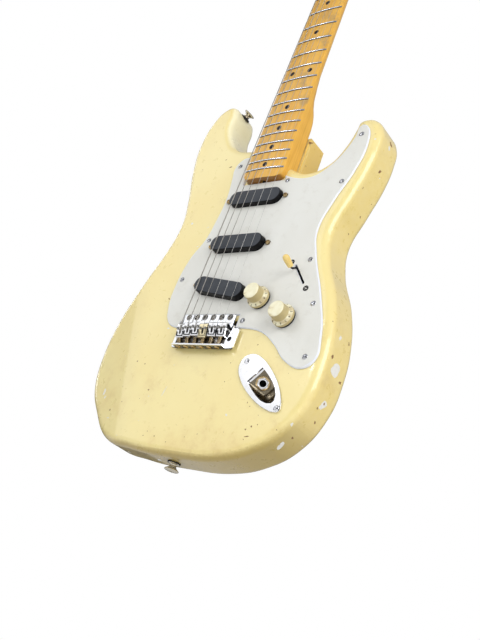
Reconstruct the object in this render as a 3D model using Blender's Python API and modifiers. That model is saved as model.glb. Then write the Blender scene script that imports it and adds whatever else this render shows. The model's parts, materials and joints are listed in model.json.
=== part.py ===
"""Solid-body electric guitar with a double cutaway, three covered pickups and a six-screw tremolo.

Metres, +Z up along the neck, +X towards the treble side, front face towards -Y. The origin is the
middle of the body's bottom edge, in the body's mid-plane. Heights named h are measured forwards from
the body's flat front face, and turned into Y by front().
"""

import math

import bmesh
import bpy
from mathutils import Matrix, Vector

# Driving dimensions
SCALE = 0.6477
SADDLE_Z = 0.1415
NUT_Z = SADDLE_Z + SCALE
BODY_T = 0.04445
FRONT_Y = -BODY_T / 2
BACK_H = -BODY_T
EDGE_R = 0.009
GAP = 0.0003

# Neck
HEEL_Z = SADDLE_Z + 0.180
HEEL_END_Z = 0.3935
HEEL_HALF = 0.0276
NUT_HALF = 0.0210
HEEL_CORNER_R = 0.010
POCKET_DEPTH = 0.0159
BOARD_H = 0.0099
BOARD_R = 0.184
BOARD_EDGE = 0.0055
HEEL_THICK = BOARD_H + POCKET_DEPTH - GAP
NECK_THICK_12 = 0.0235
NECK_THICK_1 = 0.0206
NUT_W = 0.0034
HEAD_FACE_H = 0.0029
HEAD_T = 0.0140
HEAD_BACK_H = HEAD_FACE_H - HEAD_T

# Strings, bass to treble
STRING_D = (0.00117, 0.00091, 0.00066, 0.00043, 0.00036, 0.00030)
BRIDGE_SPACING = 0.0112
NUT_SPACING = 0.0071
SADDLE_STRING_H = 0.0137
NUT_STRING_H = 0.01145
POST_STRING_H = 0.0085
INTONATION = (-0.0060, -0.0054, -0.0048, -0.0068, -0.0050, -0.0044)

# Tuners
POST_Z = 0.6830 + SADDLE_Z
POST_PITCH = 0.0250
POST_R = 0.0030
POST_TOP_H = HEAD_FACE_H + 0.0150
TUNER_ANGLE = math.pi + 0.2700
HOUSING_T = 0.0090
BUTTON_REACH = 0.0280

# Bridge
PLATE_UNDER_H = 0.0026
PLATE_T = 0.0023
PLATE_TOP_H = PLATE_UNDER_H + PLATE_T
PLATE_REAR_X = (-0.0375, 0.0458)
PLATE_FRONT_X = (-0.0335, 0.0347)
PLATE_FRONT_Z = SADDLE_Z + 0.0092
PLATE_STEP_Z = SADDLE_Z - 0.0060
PLATE_REAR_Z = SADDLE_Z - 0.0290
LIP_X = (-0.0310, 0.0370)
LIP_TOP_H = 0.0112
ARM_HOLE = (0.0380, 0.1230)
PIVOT_Z = SADDLE_Z + 0.0060
PIVOT_H = 0.0036
BLOCK_BOTTOM_H = -0.0380

# Pickguard and what stands on it
GUARD_T = 0.0020
GUARD_TOP_H = GUARD_T + GAP
PICKUP_LENGTH = 0.0699
PICKUP_WIDTH = 0.0182
PICKUPS = {
    "pickup_neck": (0.0000, SADDLE_Z + 0.1566, 0.0),
    "pickup_middle": (0.0000, SADDLE_Z + 0.0963, 0.0),
    "pickup_bridge": (0.0000, SADDLE_Z + 0.0402, math.radians(10.0)),
}
PICKUP_TOP_H = {"pickup_neck": 0.0082, "pickup_middle": 0.0100, "pickup_bridge": 0.0101}
KNOBS = {"volume": (0.0575, SADDLE_Z + 0.0275), "tone": (0.0960, SADDLE_Z + 0.0064)}
KNOB_UNDER_H = GUARD_TOP_H + 0.0028
KNOB_HEIGHT = 0.0157
SWITCH = (0.0945, SADDLE_Z + 0.0555)
SWITCH_DIRECTION = (-0.620, 0.785)
SWITCH_PIVOT_H = -0.0270
SWITCH_REST = math.radians(18.0)
JACK = (0.0935, SADDLE_Z - 0.0630)
JACK_ANGLE = math.radians(-40.5)
JACK_BARREL_R = 0.0047
JACK_MOUTH_V = 0.0072

# Body outline, clockwise from the bottom centre, as (x, z)
BODY_OUTLINE = (
    (0.0150, 0.0000), (-0.0500, 0.0030), (-0.0960, 0.0115), (-0.1305, 0.0395),
    (-0.1530, 0.0685), (-0.1605, 0.1070), (-0.1525, 0.1530), (-0.1330, 0.1950),
    (-0.1145, 0.2430), (-0.1093, 0.2750), (-0.1155, 0.3090), (-0.1295, 0.3560),
    (-0.1355, 0.3950), (-0.1295, 0.4330), (-0.1150, 0.4525), (-0.1015, 0.4548),
    (-0.0950, 0.4440), (-0.0932, 0.4215), (-0.0845, 0.4010), (-0.0680, 0.3830),
    (-0.0450, 0.3765), (-0.0180, 0.3750), (0.0050, 0.3650), (0.0170, 0.3490),
    (0.0290, 0.3400), (0.0400, 0.3345), (0.0545, 0.3310), (0.0775, 0.3380),
    (0.0915, 0.3590), (0.0978, 0.3800), (0.1000, 0.3895), (0.1085, 0.3930),
    (0.1210, 0.3895), (0.1312, 0.3750), (0.1335, 0.3550), (0.1305, 0.3250),
    (0.1205, 0.2885), (0.1110, 0.2530), (0.1170, 0.2205), (0.1380, 0.1775),
    (0.1495, 0.1400), (0.1530, 0.1050), (0.1480, 0.0660), (0.1280, 0.0320),
    (0.0970, 0.0115), (0.0600, 0.0018),
)

# Pickguard outline, as (x, z) or (x, z, "corner")
GUARD_OUTLINE = (
    (-0.0289, 0.3560, "corner"), (-0.0370, 0.3612), (-0.0462, 0.3585), (-0.0527, 0.3475),
    (-0.0507, 0.3325), (-0.0470, 0.3045), (-0.0500, 0.2685), (-0.0536, 0.2500),
    (-0.0657, 0.2245), (-0.0714, 0.1900), (-0.0685, 0.1610), (-0.0590, 0.1430),
    (-0.0430, 0.1372), (-0.0370, 0.1372, "corner"), (-0.0370, 0.1518, "corner"),
    (0.0370, 0.1518, "corner"), (0.0370, 0.1372, "corner"), (0.0480, 0.1370),
    (0.0714, 0.1329), (0.0914, 0.1201), (0.1110, 0.1027), (0.1325, 0.0960),
    (0.1440, 0.1040), (0.1430, 0.1280), (0.1280, 0.1715), (0.1052, 0.2215),
    (0.0972, 0.2490), (0.1045, 0.2840), (0.1175, 0.3190), (0.1230, 0.3540),
    (0.1155, 0.3785), (0.1082, 0.3810), (0.1038, 0.3640), (0.0920, 0.3400),
    (0.0842, 0.3312), (0.0773, 0.3254), (0.0691, 0.3210), (0.0573, 0.3195),
    (0.0413, 0.3221), (0.0289, 0.3268, "corner"), (0.0289, 0.3208, "corner"),
    (-0.0289, 0.3208, "corner"),
)

# Control cavity outline, as (x, z)
CONTROL_OUTLINE = (
    (0.0430, 0.1540), (0.0420, 0.1780), (0.0600, 0.1980), (0.0780, 0.2260),
    (0.0940, 0.2270), (0.1180, 0.1890), (0.1290, 0.1500), (0.1290, 0.1180),
    (0.1120, 0.1160), (0.0880, 0.1310), (0.0680, 0.1480),
)

# Headstock outline, as (x, distance past the saddles)
HEAD_OUTLINE = (
    (0.0200, 0.6490, "corner"), (-0.0200, 0.6490, "corner"), (-0.0260, 0.6600),
    (-0.0350, 0.6690), (-0.0330, 0.6900), (-0.0190, 0.7440), (-0.0030, 0.8020),
    (0.0050, 0.8260), (0.0180, 0.8370), (0.0320, 0.8310), (0.0370, 0.8130),
    (0.0330, 0.7600), (0.0280, 0.7000), (0.0240, 0.6650),
)

# Jack plate outline in its own axes, u across and v from the wide end to the point
JACK_OUTLINE = (
    (0.0000, 0.0413), (-0.0062, 0.0392), (-0.0115, 0.0335), (-0.0146, 0.0235),
    (-0.0158, 0.0110), (-0.0151, -0.0030), (-0.0131, -0.0155), (-0.0095, -0.0268),
    (-0.0046, -0.0358), (0.0000, -0.0390), (0.0046, -0.0358), (0.0095, -0.0268),
    (0.0131, -0.0155), (0.0151, -0.0030), (0.0158, 0.0110), (0.0146, 0.0235),
    (0.0115, 0.0335), (0.0062, 0.0392),
)

# The jack plate's bowl along the same axes, as (v, half width, depth)
JACK_CUP = (
    (0.0145, 0.0097, 0.0002), (0.0095, 0.0102, 0.0052), (0.0045, 0.0104, 0.0102),
    (0.0005, 0.0104, 0.0142), (-0.0070, 0.0101, 0.0142), (-0.0150, 0.0089, 0.0108),
    (-0.0220, 0.0060, 0.0060), (-0.0262, 0.0018, 0.0015),
)

# The recess under the jack plate along the same axes, as (u, v)
JACK_RECESS = (
    (0.0115, 0.0240), (0.0134, 0.0080), (0.0137, 0.0000), (0.0132, -0.0080), (0.0110, -0.0160),
    (0.0076, -0.0240), (0.0042, -0.0285),
)


def front(h):
    """Y of a height h above the body's front face."""
    return FRONT_Y - h


def fresh_scene():
    for old in list(bpy.data.objects):
        bpy.data.objects.remove(old, do_unlink=True)
    collections = {}
    for name in ("Electric_guitar", "Cutters"):
        collections[name] = bpy.data.collections.new(name)
        bpy.context.scene.collection.children.link(collections[name])
    return collections["Electric_guitar"], collections["Cutters"]


GUITAR, CUTTERS = fresh_scene()


def material(name, colour, roughness, metallic=0.0):
    made = bpy.data.materials.new(name)
    made.use_nodes = True
    shader = made.node_tree.nodes["Principled BSDF"]
    shader.inputs["Base Color"].default_value = (*colour, 1.0)
    shader.inputs["Roughness"].default_value = roughness
    shader.inputs["Metallic"].default_value = metallic
    return made


MATERIALS = {
    "lacquer": material("aged_cream_lacquer", (0.86, 0.76, 0.40), 0.22),
    "maple": material("amber_maple", (0.78, 0.47, 0.13), 0.30),
    "guard": material("aged_white_vinyl", (0.76, 0.76, 0.72), 0.32),
    "black": material("black_moulded_plastic", (0.012, 0.013, 0.015), 0.38),
    "cream": material("cream_knob_plastic", (0.80, 0.73, 0.47), 0.35),
    "amber": material("amber_tip_plastic", (0.80, 0.52, 0.13), 0.30),
    "chrome": material("chrome_plate", (0.80, 0.80, 0.82), 0.08, 1.0),
    "steel": material("plain_steel", (0.45, 0.44, 0.42), 0.34, 1.0),
    "nickel": material("aged_nickel", (0.58, 0.52, 0.40), 0.25, 1.0),
    "bone": material("bone", (0.82, 0.77, 0.62), 0.40),
    "winding": material("string_steel", (0.62, 0.62, 0.62), 0.25, 1.0),
}


def finish_object(obj, slot, collection=GUITAR):
    """Puts an object in its collection with its material, and shades it smooth across soft edges."""
    collection.objects.link(obj)
    if obj.type == "MESH":
        if not obj.data.materials:
            obj.data.materials.append(MATERIALS[slot])
        obj.data.shade_smooth()
        obj.data.set_sharp_from_angle(angle=math.radians(38))
    return obj


def as_cutter(obj):
    CUTTERS.objects.link(obj)
    obj.hide_render = True
    obj.display_type = "WIRE"
    return obj


def mesh_object(name, shape):
    data = bpy.data.meshes.new(name)
    shape.to_mesh(data)
    shape.free()
    return bpy.data.objects.new(name, data)


def box(name, low, high):
    shape = bmesh.new()
    bmesh.ops.create_cube(shape, size=1.0)
    size = [abs(far - near) for near, far in zip(low, high)]
    middle = (Vector(low) + Vector(high)) / 2
    place = Matrix.Translation(middle) @ Matrix.Diagonal((*size, 1.0))
    bmesh.ops.transform(shape, matrix=place, verts=shape.verts)
    return mesh_object(name, shape)


def rod(name, radius, start, end, sides=16, radius_end=None):
    """A cylinder or cone from start to end."""
    start, end = Vector(start), Vector(end)
    shape = bmesh.new()
    length = (end - start).length
    turn = (end - start).to_track_quat("Z", "Y").to_matrix().to_4x4()
    bmesh.ops.create_cone(
        shape, cap_ends=True, segments=sides, radius1=radius,
        radius2=radius if radius_end is None else radius_end, depth=length,
        matrix=Matrix.Translation((start + end) / 2) @ turn,
    )
    return mesh_object(name, shape)


def outline_curve(name, points, thickness, steps):
    """A flat outline in the local XY plane, smooth except where a point is named a corner."""
    curve = bpy.data.curves.new(name, "CURVE")
    curve.dimensions = "2D"
    curve.fill_mode = "BOTH"
    curve.extrude = thickness / 2
    curve.resolution_u = steps
    spline = curve.splines.new("BEZIER")
    spline.bezier_points.add(len(points) - 1)
    for knot, point in zip(spline.bezier_points, points):
        knot.co = (point[0], point[1], 0.0)
        kind = "VECTOR" if len(point) > 2 else "AUTO"
        knot.handle_left_type = kind
        knot.handle_right_type = kind
    spline.use_cyclic_u = True
    return bpy.data.objects.new(name, curve)


def face_outwards(shape):
    bmesh.ops.recalc_face_normals(shape, faces=shape.faces)
    if shape.calc_volume(signed=True) < 0:
        bmesh.ops.reverse_faces(shape, faces=shape.faces)


def one_face_per_flat(shape):
    """Joins the triangles that a filled outline is made of, so that a bevel runs evenly round its rim."""
    bmesh.ops.dissolve_limit(
        shape, angle_limit=math.radians(0.05), use_dissolve_boundaries=False,
        verts=shape.verts, edges=shape.edges,
    )


def realised(obj):
    """A mesh object with the same shape as obj has with its modifiers, in place of obj."""
    if not obj.users_collection:
        bpy.context.scene.collection.objects.link(obj)
    bpy.context.view_layer.update()
    graph = bpy.context.evaluated_depsgraph_get()
    data = bpy.data.meshes.new_from_object(obj.evaluated_get(graph))
    shape = bmesh.new()
    shape.from_mesh(data)
    bmesh.ops.remove_doubles(shape, verts=shape.verts, dist=0.000005)
    one_face_per_flat(shape)
    face_outwards(shape)
    shape.to_mesh(data)
    shape.free()
    name = obj.name
    place = obj.matrix_world.copy()
    bpy.data.objects.remove(obj, do_unlink=True)
    made = bpy.data.objects.new(name, data)
    made.matrix_world = place
    return made


FACING_FRONT = Matrix.Rotation(math.radians(90), 4, "X")
PROFILE_SIDEWAYS = Matrix(((0, 0, 1, 0), (0, -1, 0, 0), (1, 0, 0, 0), (0, 0, 0, 1)))


def slab(name, points, low_h, high_h, steps=4, place=Matrix.Identity(4)):
    """A plate parallel to the front face, between two heights, from (x, z) points."""
    obj = outline_curve(name, points, high_h - low_h, steps)
    middle = Matrix.Translation((0, front((low_h + high_h) / 2), 0))
    obj.matrix_world = middle @ place @ FACING_FRONT
    return realised(obj)


def baked(obj):
    """Moves an object's placement into its mesh."""
    obj.data.transform(obj.matrix_world)
    obj.matrix_world = Matrix.Identity(4)
    return obj


def stadium(length, width, arc_steps=6):
    """Points of a slot with round ends, lying along X."""
    radius = width / 2
    reach = length / 2 - radius
    points = []
    for side, start in ((1, -90), (-1, 90)):
        for step in range(arc_steps + 1):
            angle = math.radians(start + 180 * step / arc_steps)
            x = side * reach + radius * math.cos(angle)
            points.append((x, radius * math.sin(angle), "corner"))
    return points


def rectangle(left, right, low, high):
    return [(x, z, "corner") for x, z in ((left, low), (right, low), (right, high), (left, high))]


def rounded_rectangle(half_width, low, high, radius, arc_steps=3):
    points = []
    corners = ((half_width, high), (-half_width, high), (-half_width, low), (half_width, low))
    for quarter, (corner_x, corner_z) in enumerate(corners):
        centre_x = corner_x - math.copysign(radius, corner_x)
        centre_z = corner_z - radius if corner_z == high else corner_z + radius
        for step in range(arc_steps + 1):
            angle = math.radians(90 * quarter + 90 * step / arc_steps)
            x = centre_x + radius * math.cos(angle)
            z = centre_z + radius * math.sin(angle)
            points.append((x, z, "corner"))
    return points


def turned_in_plane(x, z, angle):
    """A placement at (x, z) on the front face, turned anticlockwise as seen from the front."""
    return Matrix.Translation((x, 0, z)) @ Matrix.Rotation(-angle, 4, "Y")


def boolean(obj, other, operation="DIFFERENCE"):
    change = obj.modifiers.new(operation.title() + "_" + other.name, "BOOLEAN")
    change.operation = operation
    change.solver = "EXACT"
    change.object = other
    return obj


def cut(obj, *cutters):
    for cutter in cutters:
        boolean(obj, as_cutter(cutter))
    return obj


def join(obj, *others):
    for other in others:
        boolean(obj, as_cutter(other), "UNION")
    return obj


def bevel(obj, width, segments=2, degrees=50):
    made = obj.modifiers.new("Rounded_edges", "BEVEL")
    made.width = width
    made.segments = segments
    made.limit_method = "ANGLE"
    made.angle_limit = math.radians(degrees)
    made.use_clamp_overlap = False
    return obj


def shared_mesh(source, slot):
    """The finished mesh of a source object with modifiers, for several objects to share."""
    made = realised(source)
    data = made.data
    data.transform(made.matrix_world)
    bpy.data.objects.remove(made)
    data.materials.clear()
    data.materials.append(MATERIALS[slot])
    return data


def copy_of(name, data, matrix, slot):
    obj = bpy.data.objects.new(name, data)
    obj.matrix_world = matrix
    return finish_object(obj, slot)


def pivot_empty(name, position):
    """The axis that a moving group turns about."""
    empty = bpy.data.objects.new(name, None)
    empty.location = position
    empty.empty_display_size = 0.02
    GUITAR.objects.link(empty)
    return empty


def ride_on(empty, *objects):
    for obj in objects:
        obj.parent = empty
        obj.matrix_parent_inverse = Matrix.Translation(-empty.location)


# Body

def smooth_ramp(distance, width):
    """Zero before -width, a straight line after width, and a parabola between."""
    if distance <= -width:
        return 0.0
    if distance >= width:
        return distance
    return (distance + width) ** 2 / (4 * width)


def forearm_drop(x, z):
    """How far the front face is carved back where the player's arm rests."""
    outwards = (-0.128 - x) * 0.950 + (0.2015 - z) * 0.313
    return 0.20 * smooth_ramp(outwards, 0.015)


def belly_drop(x, z):
    """How far the back face is carved forwards behind the waist."""
    along = (z - 0.285) / 0.125
    if abs(along) >= 1:
        return 0.0
    inwards = min(max((-0.062 - x) / 0.055, 0.0), 1.0)
    return 0.015 * (1 - along ** 2) ** 2 * inwards ** 2 * (3 - 2 * inwards)


def contour(shape):
    """Cuts the faces into a grid where the contours lie and carves both faces of the body."""
    planes = [((x / 1000, 0, 0), (1, 0, 0)) for x in range(-150, -40, 16)]
    planes += [((0, 0, z / 1000), (0, 0, 1)) for z in range(20, 420, 30)]
    for point, normal in planes:
        everything = shape.verts[:] + shape.edges[:] + shape.faces[:]
        bmesh.ops.bisect_plane(shape, geom=everything, plane_co=point, plane_no=normal)
    for vertex in shape.verts:
        x, y, z = vertex.co
        if y < 0:
            vertex.co.y = y + forearm_drop(x, z) * y / FRONT_Y
        else:
            vertex.co.y = y + belly_drop(x, z) * y / FRONT_Y


def body_blank():
    blank = baked(slab("body", BODY_OUTLINE, BACK_H, 0.0, steps=3))
    bevel(blank, EDGE_R, segments=3, degrees=60)
    blank = realised(blank)
    shape = bmesh.new()
    shape.from_mesh(blank.data)
    contour(shape)
    bmesh.ops.triangulate(shape, faces=shape.faces)
    shape.to_mesh(blank.data)
    shape.free()
    return blank


def heel_tongue():
    """The part of the body that carries the neck's heel, flush with the neck's treble side."""
    low = (-0.0270, front(-POCKET_DEPTH + 0.002), 0.3300)
    high = (0.0283, front(BACK_H), HEEL_END_Z)
    tongue = box("heel_tongue", low, high)
    return bevel(tongue, 0.0040, segments=2)


def neck_half_width(z):
    return HEEL_HALF + (NUT_HALF - HEEL_HALF) * (z - HEEL_Z) / (NUT_Z - HEEL_Z)


def pocket_cutter():
    grow = GAP
    end_z = HEEL_END_Z + 0.010
    side_low = neck_half_width(HEEL_Z) + grow
    side_high = neck_half_width(end_z) + grow
    corner = HEEL_CORNER_R - 0.002
    points = []
    for step in range(5):
        angle = math.radians(180 + 90 * step / 4)
        x = -side_low + corner + corner * math.cos(angle)
        z = HEEL_Z - grow + corner + corner * math.sin(angle)
        points.append((x, z, "corner"))
    points += [(-x, z, "corner") for x, z, _ in reversed(points)]
    points += [(side_high, end_z, "corner"), (-side_high, end_z, "corner")]
    return slab("neck_pocket", points, -POCKET_DEPTH, 0.004)


def pickup_slots():
    slots = []
    for name, (x, z, angle) in PICKUPS.items():
        place = turned_in_plane(x, z, -angle)
        slots.append(slab(name + "_slot", stadium(0.0960, 0.0250), -0.0190, 0.004, place=place))
    return slots


def body_cavities():
    control = slab("control_cavity", CONTROL_OUTLINE, -0.0350, 0.004, steps=2)
    wire_way = slab("wire_channel", rectangle(0.0, 0.0620, 0.2260, 0.2400), -0.0150, 0.004)
    wire_low = slab("wire_channel_low", rectangle(-0.0100, 0.0100, 0.1850, 0.2950), -0.0150, 0.004)
    block_slot = slab("block_slot", rectangle(-0.0395, 0.0395, 0.1150, 0.1460), -0.0500, 0.004)
    springs = slab("spring_cavity", rectangle(-0.0395, 0.0395, 0.1160, 0.2560), -0.0500, -0.0275)
    recess = [(u, v, "corner") for u, v in JACK_RECESS]
    recess += [(-u, v, "corner") for u, v in reversed(JACK_RECESS)]
    jack_rout = slab("jack_rout", recess, -0.0340, 0.004,
                     place=turned_in_plane(*JACK, JACK_ANGLE + math.pi / 2))
    jack_way = rod("jack_wire_way", 0.0050, (JACK[0], front(-0.025), JACK[1]),
                   (0.1120, front(-0.025), 0.1300), sides=12)
    return [control, wire_way, wire_low, block_slot, springs, jack_rout, jack_way]


def make_body():
    body = body_blank()
    join(body, heel_tongue())
    cut(body, pocket_cutter(), *pickup_slots(), *body_cavities())
    return finish_object(body, "lacquer")


# Neck

def neck_thickness(z):
    along = (z - (SADDLE_Z + SCALE / 2)) / (NUT_Z - 0.036 - SADDLE_Z - SCALE / 2)
    return NECK_THICK_12 + (NECK_THICK_1 - NECK_THICK_12) * min(max(along, -0.6), 1.0)


def neck_section(half, thickness, squareness, top_h=BOARD_H):
    """One cross-section as (x, h), from the bass edge of the board round the back."""
    across = 6
    points = []
    for step in range(across + 1):
        x = half * (2 * step / across - 1)
        points.append((x, top_h - x * x / (2 * BOARD_R)))
    edge_h = top_h - half * half / (2 * BOARD_R) - BOARD_EDGE
    depth = thickness - (top_h - edge_h)
    around = 12
    for step in range(around + 1):
        angle = math.pi * step / around
        reach = abs(math.cos(angle)) ** (2 / squareness) * math.copysign(1, math.cos(angle))
        drop = math.sin(angle) ** (2 / squareness) if step not in (0, around) else 0.0
        points.append((half * reach, edge_h - depth * drop))
    return points


def loft(name, stations):
    """A closed body through sections at increasing z: stations are (z, [(x, h), ...])."""
    shape = bmesh.new()
    rings = []
    for z, section in stations:
        rings.append([shape.verts.new((x, front(h), z)) for x, h in section])
    count = len(rings[0])
    for ring, following in zip(rings, rings[1:]):
        for index in range(count):
            after = (index + 1) % count
            shape.faces.new((ring[index], ring[after], following[after], following[index]))
    shape.faces.new(reversed(rings[0]))
    shape.faces.new(rings[-1])
    face_outwards(shape)
    return mesh_object(name, shape)


def heel_rounding(z):
    """How far the heel's round corners pull its sides in."""
    into = HEEL_CORNER_R - (z - HEEL_Z)
    if into <= 0:
        return 0.0
    return HEEL_CORNER_R - math.sqrt(max(HEEL_CORNER_R ** 2 - into ** 2, 0.0))


def make_neck():
    stations = []
    for past in (0.0, 0.0005, 0.002, 0.005, 0.010, 0.0717):
        z = HEEL_Z + past
        half = neck_half_width(z) - heel_rounding(z)
        stations.append((z, neck_section(half, HEEL_THICK, 12)))
    heel_fade = ((0.0790, 10, 0.0000), (0.0880, 6, 0.0006), (0.1000, 3.4, 0.0012),
                 (0.1150, 2.6, 0.0016))
    for past, squareness, thinner in heel_fade:
        z = HEEL_Z + past
        section = neck_section(neck_half_width(z), HEEL_THICK - thinner, squareness)
        stations.append((z, section))
    for past in (0.150, 0.240, 0.330, 0.400, 0.440, 0.456):
        z = HEEL_Z + past
        stations.append((z, neck_section(neck_half_width(z), neck_thickness(z), 2.2)))
    stations.append((NUT_Z + 0.0045, neck_section(NUT_HALF, NECK_THICK_1, 2.6)))
    stations.append((NUT_Z + 0.0120, neck_section(NUT_HALF, 0.0168, 3.0, HEAD_FACE_H + 0.0030)))
    stations.append((NUT_Z + 0.0200, neck_section(NUT_HALF, 0.0138, 4.0, HEAD_FACE_H + 0.0001)))
    neck = loft("neck", stations)
    head_points = [(point[0], SADDLE_Z + point[1], *point[2:]) for point in HEAD_OUTLINE]
    head = baked(slab("headstock", head_points, HEAD_BACK_H, HEAD_FACE_H))
    bevel(head, 0.0012, segments=1)
    join(neck, realised(head))
    nut_slot = box("nut_slot", (-0.03, front(0.02), NUT_Z), (0.03, front(BOARD_H - 0.0040), NUT_Z + NUT_W))
    rod_y = front(-0.0030)
    nut_bore = rod("truss_nut_bore", 0.0048, (0, rod_y, HEEL_Z - 0.01), (0, rod_y, HEEL_Z + 0.020), 12)
    rod_bore = rod("truss_rod_bore", 0.0028, (0, rod_y, HEEL_Z), (0, rod_y, NUT_Z - 0.0290), 10)
    cut(neck, nut_slot, nut_bore, rod_bore)
    for index in range(6):
        x, z = post_place(index)
        hole = rod(f"post_hole_{index + 1}", POST_R + 0.0004, (x, front(0.02), z), (x, front(-0.02), z), 12)
        cut(neck, hole)
    return finish_object(neck, "maple")


def make_truss_rod():
    rod_y = front(-0.0030)
    rod_piece = rod("truss_rod", 0.0024, (0, rod_y, HEEL_Z + 0.0100), (0, rod_y, NUT_Z - 0.0300), 10)
    nut = rod("truss_rod_nut", 0.0042, (0, rod_y, HEEL_Z + 0.0015), (0, rod_y, HEEL_Z + 0.0160), 12)
    join(rod_piece, nut)
    slot_low = (-0.0050, rod_y - 0.0006, HEEL_Z)
    cut(rod_piece, box("truss_nut_slot", slot_low, (0.0050, rod_y + 0.0006, HEEL_Z + 0.0035)))
    return finish_object(rod_piece, "steel")


# Strings

def string_x(index, z):
    """X of a string, bass to treble, on its straight line from saddle to nut and beyond."""
    place = index - 2.5
    at_saddle = place * BRIDGE_SPACING
    at_nut = place * NUT_SPACING
    return at_saddle + (at_nut - at_saddle) * (z - SADDLE_Z) / SCALE


def saddle_string_h(index):
    x = string_x(index, SADDLE_Z)
    return SADDLE_STRING_H - x * x / (2 * BOARD_R)


def nut_string_h(index):
    x = string_x(index, NUT_Z)
    return NUT_STRING_H - x * x / (2 * BOARD_R)


def post_place(index):
    z = POST_Z + POST_PITCH * index
    return string_x(index, z) - POST_R - STRING_D[index] / 2 - GAP, z


def make_string(index):
    """A string from its saddle's crown over the nut to its tuner's post."""
    _, post_z = post_place(index)
    saddle_h = saddle_string_h(index)
    nut_h = nut_string_h(index)
    crest_z = NUT_Z + NUT_W / 2
    route = [
        (SADDLE_Z + INTONATION[index], saddle_h),
        (SADDLE_Z + SCALE / 2, (saddle_h + nut_h) / 2),
        (NUT_Z - 0.0010, nut_h),
        (crest_z, nut_h - 0.0001),
        (NUT_Z + NUT_W + 0.0015, nut_h - 0.0004),
        (post_z - 0.0040, POST_STRING_H),
        (post_z, POST_STRING_H),
    ]
    curve = bpy.data.curves.new(f"string_{index + 1}", "CURVE")
    curve.dimensions = "3D"
    curve.bevel_depth = STRING_D[index] / 2
    curve.bevel_resolution = 2
    curve.use_fill_caps = True
    curve.materials.append(MATERIALS["winding"])
    spline = curve.splines.new("POLY")
    spline.points.add(len(route) - 1)
    for point, (z, h) in zip(spline.points, route):
        point.co = (string_x(index, z), front(h), z, 1.0)
    obj = bpy.data.objects.new(f"string_{index + 1}", curve)
    return finish_object(obj, "winding")


def make_nut():
    bottom_h = BOARD_H - 0.0040 + GAP
    points = rectangle(-NUT_HALF, NUT_HALF, NUT_Z + GAP, NUT_Z + NUT_W - GAP)
    nut = baked(slab("nut", points, bottom_h, BOARD_H + 0.0020))
    nut = finish_object(nut, "bone")
    for index in range(6):
        x = string_x(index, NUT_Z)
        half = STRING_D[index] / 2 + GAP
        low = (x - half, front(0.02), NUT_Z - 0.002)
        high = (x + half, front(nut_string_h(index) - half - 0.0004), NUT_Z + 0.006)
        cut(nut, box(f"nut_slot_{index + 1}", low, high))
    return nut


def make_string_tree():
    """A clip on a stem that holds the two thinnest strings down behind the nut."""
    x = (string_x(4, NUT_Z + 0.045) + string_x(5, NUT_Z + 0.045)) / 2
    z = NUT_Z + 0.0450
    clip_h = 0.0114
    stem = rod("string_tree", 0.0016, (x, front(HEAD_FACE_H + GAP), z), (x, front(clip_h + 0.0003), z), 12)
    clip = slab("string_tree_clip", rectangle(x - 0.0060, x + 0.0060, z - 0.0028, z + 0.0028),
                clip_h, clip_h + 0.0012)
    join(stem, clip)
    return finish_object(stem, "nickel")


# Tuners

def tuner_matrix(index):
    x, z = post_place(index)
    return Matrix.Translation((x, 0, z)) @ Matrix.Rotation(TUNER_ANGLE, 4, "Y")


def make_tuners():
    top = front(HEAD_BACK_H - GAP)
    axis_y = top + HOUSING_T / 2
    housing = box("housing", (-0.0080, top, -0.0065), (0.0095, top + HOUSING_T, 0.0065))
    bevel(housing, 0.0015, segments=1)
    housing = realised(housing)
    cut(housing, rod("shaft_bore", 0.0026, (0.0020, axis_y, 0), (0.0200, axis_y, 0), 12))
    housing_mesh = shared_mesh(housing, "nickel")
    stem = rod("button", 0.0021, (0.0026, axis_y, 0), (BUTTON_REACH, axis_y, 0), 12)
    knob_shape = bmesh.new()
    place = Matrix.Translation((BUTTON_REACH, axis_y, 0)) @ Matrix.Diagonal((0.0075, 0.0036, 0.0095, 1))
    bmesh.ops.create_uvsphere(knob_shape, u_segments=12, v_segments=8, radius=1.0, matrix=place)
    join(stem, mesh_object("button_oval", knob_shape))
    button_mesh = shared_mesh(stem, "nickel")
    for index in range(6):
        number = index + 1
        matrix = tuner_matrix(index)
        copy_of(f"tuner_housing_{number}", housing_mesh, matrix, "nickel")
        x, z = post_place(index)
        post = rod(f"tuner_post_{number}", POST_R, (0, front(HEAD_BACK_H), 0), (0, front(POST_TOP_H), 0), 16)
        post.location = (x, 0, z)
        finish_object(post, "nickel")
        button = copy_of(f"tuner_button_{number}", button_mesh, matrix, "nickel")
        axis_point = matrix @ Vector((BUTTON_REACH, axis_y, 0))
        empty = pivot_empty(f"tuner_button_axis_{number}", axis_point)
        ride_on(empty, button)


# Pickguard and electronics

def make_guard():
    guard = baked(slab("pickguard", GUARD_OUTLINE, GAP, GUARD_TOP_H, steps=4))
    for name, (x, z, angle) in PICKUPS.items():
        points = stadium(PICKUP_LENGTH + 0.0010, PICKUP_WIDTH + 0.0010)
        cut(guard, slab(name + "_opening", points, -0.002, 0.006, place=turned_in_plane(x, z, -angle)))
    for name, (x, z) in KNOBS.items():
        cut(guard, rod(name + "_hole", 0.0050, (x, front(-0.002), z), (x, front(0.006), z), 16))
    slot = slab("lever_slot", rectangle(-0.0145, 0.0145, -0.0013, 0.0013), -0.002, 0.006,
                place=turned_in_plane(*SWITCH, slot_angle()))
    cut(guard, slot)
    return finish_object(guard, "guard")


def slot_angle():
    return math.atan2(SWITCH_DIRECTION[1], SWITCH_DIRECTION[0])


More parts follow.
